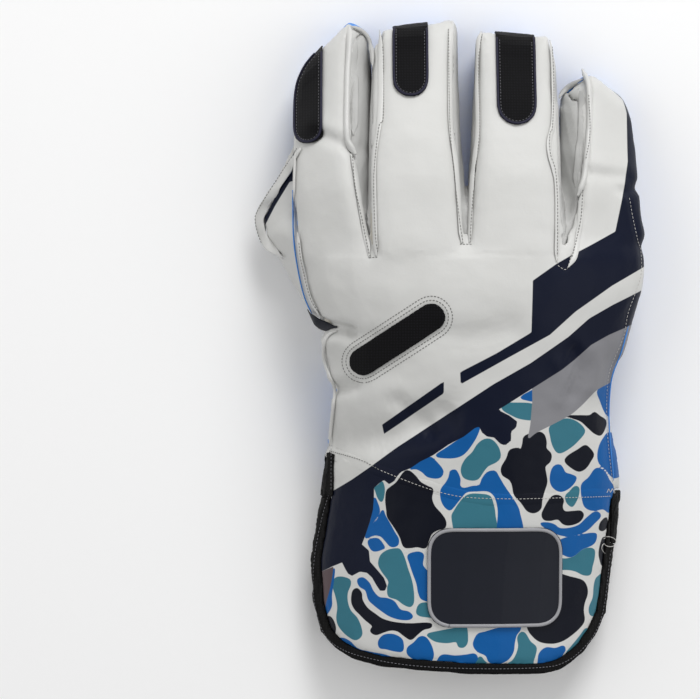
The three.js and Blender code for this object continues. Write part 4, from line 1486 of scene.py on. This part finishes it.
@dataclass(frozen=True)
class Seams:
    """All that is sewn on the walls, with the size of each kind of seam and stitch."""

    welt: Roll = Roll(3.2, 0.4, 2.6, 0.8, 18, 1, -0.15, carry=False, bridge=True)
    flange: Roll = Roll(1.5, 0.5, 1.4, taper=7)
    tall_edge: Roll = Roll(1.5, 2.2, 2.0, 0.4, 14, lift=0.5)
    rolled_edge: Roll = Roll(0.9, 0.6, 1.2, taper=7, carry=False)
    hem: Roll = Roll(2.6, 0.5, 1.5, around=14, taper=12)
    wrist_roll: Roll = Roll(1.0, 0.8, 1.4)
    wall_seam: Roll = Roll(2.2, 0.4, 1.2, taper=8, carry=False, bridge=True)
    tip_roll: Roll = Roll(1.5, 1.0, 1.6)
    piping: Roll = Roll(0.35, 0.4, 1.0, 0.4, 8, carry=False)
    tuck: Roll = Roll(2.6, 0.9, 1.5, 0.2, taper=9)
    tip_rim: Roll = Roll(0.65, 0.55, 0.5, 1.0, 8, 1, carry=False)
    cuff_rim: Roll = Roll(0.9, 0.6, 0.4, 1.0, 8, 1, carry=False, closed=True)
    zigzag: Roll = Roll(0.22, 0.22, ends=0.6, around=6, taper=1, carry=False, step=STITCH_STEP)
    loose_thread: Roll = Roll(
        0.2, 0.2, ends=0.6, around=6, taper=1, lift=0.25, carry=False, step=STITCH_STEP,
    )
    grey: Stitching = Stitching(1.7, 0.62, 0.23, 0.11)
    white: Stitching = Stitching(1.9, 0.62, 0.17, 0.10)
    under: Stitching = Stitching(1.9, 0.62, 0.19, 0.10)
    dim: Stitching = Stitching(1.9, 0.6, 0.15, 0.08)
    tip: Stitching = Stitching(1.8, 0.5, 0.14, 0.08)
    inlay_rows: tuple[float, float] = (1.6, 3.6)
    tip_row: float = -1.9
    tip_rim_row: float = -0.6
    cuff_rim_row: float = -1.0

    def build(
        self, walls: dict[str, bpy.types.Object], finishes: dict[str, bpy.types.Material]
    ) -> None:
        """Lays the raised seams on the walls, and the rest on walls and seams.

        Args:
            walls: The dressed walls by their node.
            finishes: Materials by name.
        """
        raised = self.raise_seams(Ground(list(walls.values())), finishes)
        ground = Ground(list(walls.values()) + raised)
        self.pipe(ground, finishes)
        self.stitch(ground, finishes)
        self.rim(ground, finishes)

    def raise_seams(
        self, ground: Ground, finishes: dict[str, bpy.types.Material]
    ) -> list[bpy.types.Object]:
        """Lays the welt at the wrist, the sewn edges of the fingers and the seams in their walls."""
        welt = Sewn("wrist_welt", finishes["printed"], "printed_leather")
        self.welt.lay(ground, smooth_track(WRIST_GAP), welt)
        welted = welt.build()
        set_depths(welted.data, print_depths(coordinates(welted.data)))
        edges = Sewn("seam_edges", finishes["white"], "white_leather")
        for side, line in EDGES:
            self.flange.lay(ground, smooth_track(line) + [side * self.flange.half, 0], edges)
        for line in TALL_EDGES:
            self.tall_edge.lay(ground, smooth_track(line), edges)
        self.rolled_edge.lay(ground, smooth_track(ROLLED_EDGE), edges)
        self.hem.lay(ground, smooth_track(HEM), edges)
        self.wrist_roll.lay(ground, smooth_track(WRIST_ROLL), edges)
        # The seams and tip rolls in the side walls take the side leather, whose darker colour is painted
        # shade.
        inner = Sewn("wall_seams", finishes["grey"], "grey_leather")
        for line in WALL_SEAMS:
            self.wall_seam.lay(ground, smooth_track(line), inner)
        for line in TIP_ROLLS:
            self.tip_roll.lay(ground, smooth_track(line), inner)
        return [welted, edges.build(), inner.build()]

    def pipe(self, ground: Ground, finishes: dict[str, bpy.types.Material]) -> None:
        """Lays the blue piping at the sides and the navy tuck beside the thumb."""
        blue = Sewn("side_piping", finishes["rubber"], "palm_rubber")
        for line in (BLUE_EDGE, RIGHT_PIPING):
            self.piping.lay(ground, smooth_track(line), blue)
        blue.build()
        tuck = Sewn("side_tuck", finishes["dark"], "dark_patch")
        self.tuck.lay(ground, smooth_track(NAVY_TUCK), tuck)
        tuck.build()

    def stitch(self, ground: Ground, finishes: dict[str, bpy.types.Material]) -> None:
        """Sews grey thread on white leather, white on the prints and dim on the tapes."""
        grey = Sewn("grey_stitches", finishes["grey_thread"], "white_leather")
        for line in GREY_ROWS + [WRIST_SEAM[:3]]:
            self.grey.lay(ground, smooth_track(line), grey)
        for grow in self.inlay_rows:
            self.grey.lay(ground, outline_of("back_inlay", grow), grey)
        grey.build()
        dim = Sewn("dim_stitches", finishes["dim_thread"], "binding")
        for line in (CUFF_ROW, TAPE_ROW):
            self.dim.lay(ground, smooth_track(line), dim)
        for node in TIP_PATCHES:
            self.tip.lay(ground, below_tip(outline_of(node, self.tip_row)), dim)
        dim.build()
        white = Sewn("white_stitches", finishes["white_thread"], "white_leather")
        for line in WHITE_ROWS + [WRIST_SEAM[2:]]:
            self.white.lay(ground, smooth_track(line), white)
        for line in PALM_ROWS + [CUFF_ROW]:
            self.under.lay(ground, smooth_track(line), white, Side.PALM)
        self.zigzag.lay(ground, plan(ZIGZAG), white)
        self.loose_thread.lay(ground, smooth_track(LOOSE_THREAD, 12), white)
        white.build()

    def rim(self, ground: Ground, finishes: dict[str, bpy.types.Material]) -> None:
        """Lays the rims of the fingertip patches and of the patch on the cuff."""
        rims = Sewn("patch_rims", finishes["rim"], "netting")
        for node in TIP_PATCHES:
            self.tip_rim.lay(ground, below_tip(outline_of(node, self.tip_rim_row)), rims)
        rims.build()
        silver = Sewn("cuff_patch_rim", finishes["silver"], "dark_patch")
        self.cuff_rim.lay(ground, outline_of("cuff_patch", self.cuff_rim_row), silver)
        silver.build()


@dataclass(frozen=True)
class Pimples:
    """The pimples of the rubber in offset rows, with sizes in millimetres.

    They stand only on rubber that faces down, below a height.
    """

    pitch: float = 2.9
    radius: float = 0.8
    height: float = 0.55
    steepest: float = -0.75
    highest: float = 36.0

    def build(self, palm: bpy.types.Object, rubber: bpy.types.Material) -> None:
        """Covers the palm with them.

        Args:
            palm: The dressed palm.
            rubber: Its material.
        """
        ground = Ground([palm])
        points = coordinates(palm.data) / MM
        low, high = points.min(axis=0), points.max(axis=0)
        pimples = Sewn("palm_pimples", rubber, "palm_rubber")
        row = 0
        y = low[1]
        while y < high[1]:
            for x in np.arange(low[0] + row % 2 * self.pitch / 2, high[0], self.pitch):
                hit = ground.touch(x, y, Side.PALM)
                if hit and hit[1].z < self.steepest and hit[0].z < self.highest * MM:
                    where, out = np.array(hit[0]), np.array(hit[1])
                    pimples.dot(where, out, self.radius * MM, self.height * MM)
            row += 1
            y += self.pitch * math.sqrt(3) / 2
        pimples.build()


PRINTS = (
    Print("teal", "#367080"), Print("blue", "#0C579A"), Print("ink", "#080C19"), Print("silver", "#828286"),
    # The dark greyish-mauve print is painted shade: the silver at the cuff's lower left, darkened for the
    # shade that lies there.
    Print("silver_painted_shade", "#5B4D50"), Print("navy", "#091024"),
)

FINISHES = {
    # Clean white with a soft highlight and faint creasing.
    "white": CoatedLeather("white_coated_leather", "#CFCFCD", "#C4C4C1", gloss=0.4),
    # The same leather under matt inks, with crisp edges between the colours.
    "printed": CoatedLeather("printed_coated_leather", "#D1D1CF", "#C6C6C3", PRINTS, gloss=0.14),
    # Thin unpadded leather of the side walls, duller than the back; its colour is painted a shade darker for
    # the shade that falls between the fingers.
    "grey": CoatedLeather("side_leather_painted_shade", "#BDBDBB", "#AEAEAC", roughness=0.55, gloss=0.3),
    # Saturated blue with a satin sheen and no grain.
    "rubber": MouldedRubber(),
    # Cream towelling with coarse loops and deep painted shade between them.
    "towel": WovenCloth("cotton_lining", "#D9D6CE", "#B9B5AB", 1.6),
    # Black woven cotton that hardly shines.
    "tape": WovenCloth("black_binding_tape", "#100F10", "#050505", 0.7, sheen=0.03),
    # Near-black nylon threads, with painted light along their tops and painted shade in the hollows between
    # them.
    "netting": WovenCloth("black_nylon_mesh", "#121116", "#040405", 0.7, sheen=0.05),
    # Dark flat rubber that takes a broad weak highlight.
    "dark": Plain("navy_moulded_rubber", "#0A0F1D", 0.55),
    # Thin dark rims, purple against the black mesh.
    "rim": Plain("purple_navy_piping", "#17162E", 0.6),
    # Painted rim, the smoothest thing on the glove.
    "silver": Plain("silver_rim", "#9C9CA0", 0.35),
    # Waxed polyester threads: dull, and seen only by their tone against leather and tape.
    "grey_thread": Plain("grey_thread", "#7C7C79", 0.7),
    "white_thread": Plain("white_thread", "#C2C0BC", 0.7),
    "dim_thread": Plain("dim_grey_thread", "#77777C", 0.7),
}


def main() -> None:
    """Builds the stage and then the glove, piece by piece."""
    logging.basicConfig(level=logging.INFO)
    show_camera()
    show_stage()
    finishes = {name: finish.material() for name, finish in FINISHES.items()}
    white, printed, grey = finishes["white"], finishes["printed"], finishes["grey"]
    towel, tape, netting = finishes["towel"], finishes["tape"], finishes["netting"]
    creases = stitch_creases()
    soft_walls = 9  # the first walls are leather or rubber and move with the skin
    walls = [
        Wall("back_panel", printed, "white_leather", towel, 1.2, 3, 0.6, True, creases, 0.35),
        Wall("palm", finishes["rubber"], "palm_rubber", towel, 1.5, 3, 0.5),
        # The side walls between the fingers take the side leather, whose darker colour is painted shade.
        *(
            Wall(f"{pair}_gusset", grey, "grey_leather", wobble=0.3)
            for pair in ("index_middle", "middle_ring", "ring_little")
        ),
        Wall("thumb_back", printed, "white_leather", None, 1.2, 3, 0.5, True, (), 0.4),
        Wall("web_hem", white, "white_leather", voxel=0.9, softness=1),
        Wall("cuff_back", printed, "printed_leather", towel, 0.9, 3, 0.6, True, (), 0.35),
        Wall("cuff_palm", white, "white_leather", towel, 1.2, 3, 0.6),
        *(
            Wall(f"cuff_{side}_binding", tape, "binding", voxel=1.0, softness=2)
            for side in ("back", "palm")
        ),
        *(
            Wall(f"side_tape_{side}", tape, "binding", voxel=0.8, softness=1)
            for side in ("left", "right")
        ),
        *(
            Wall(node, netting, "netting", voxel=0.6, softness=1)
            for node in (*TIP_PATCHES, "back_inlay")
        ),
        Wall("cuff_patch", finishes["dark"], "dark_patch", voxel=0.6, softness=1),
    ]
    nodes = [wall.node for wall in walls[:soft_walls]]
    skin = GloveSkin(nodes, folds=FOLDS, leans=LEANS, shoulders=SHOULDERS)
    dressed = {wall.node: wall.build(skin) for wall in walls}
    Seams().build(dressed, finishes)
    Pimples().build(dressed["palm"], finishes["rubber"])


if __name__ == "__main__":
    main()
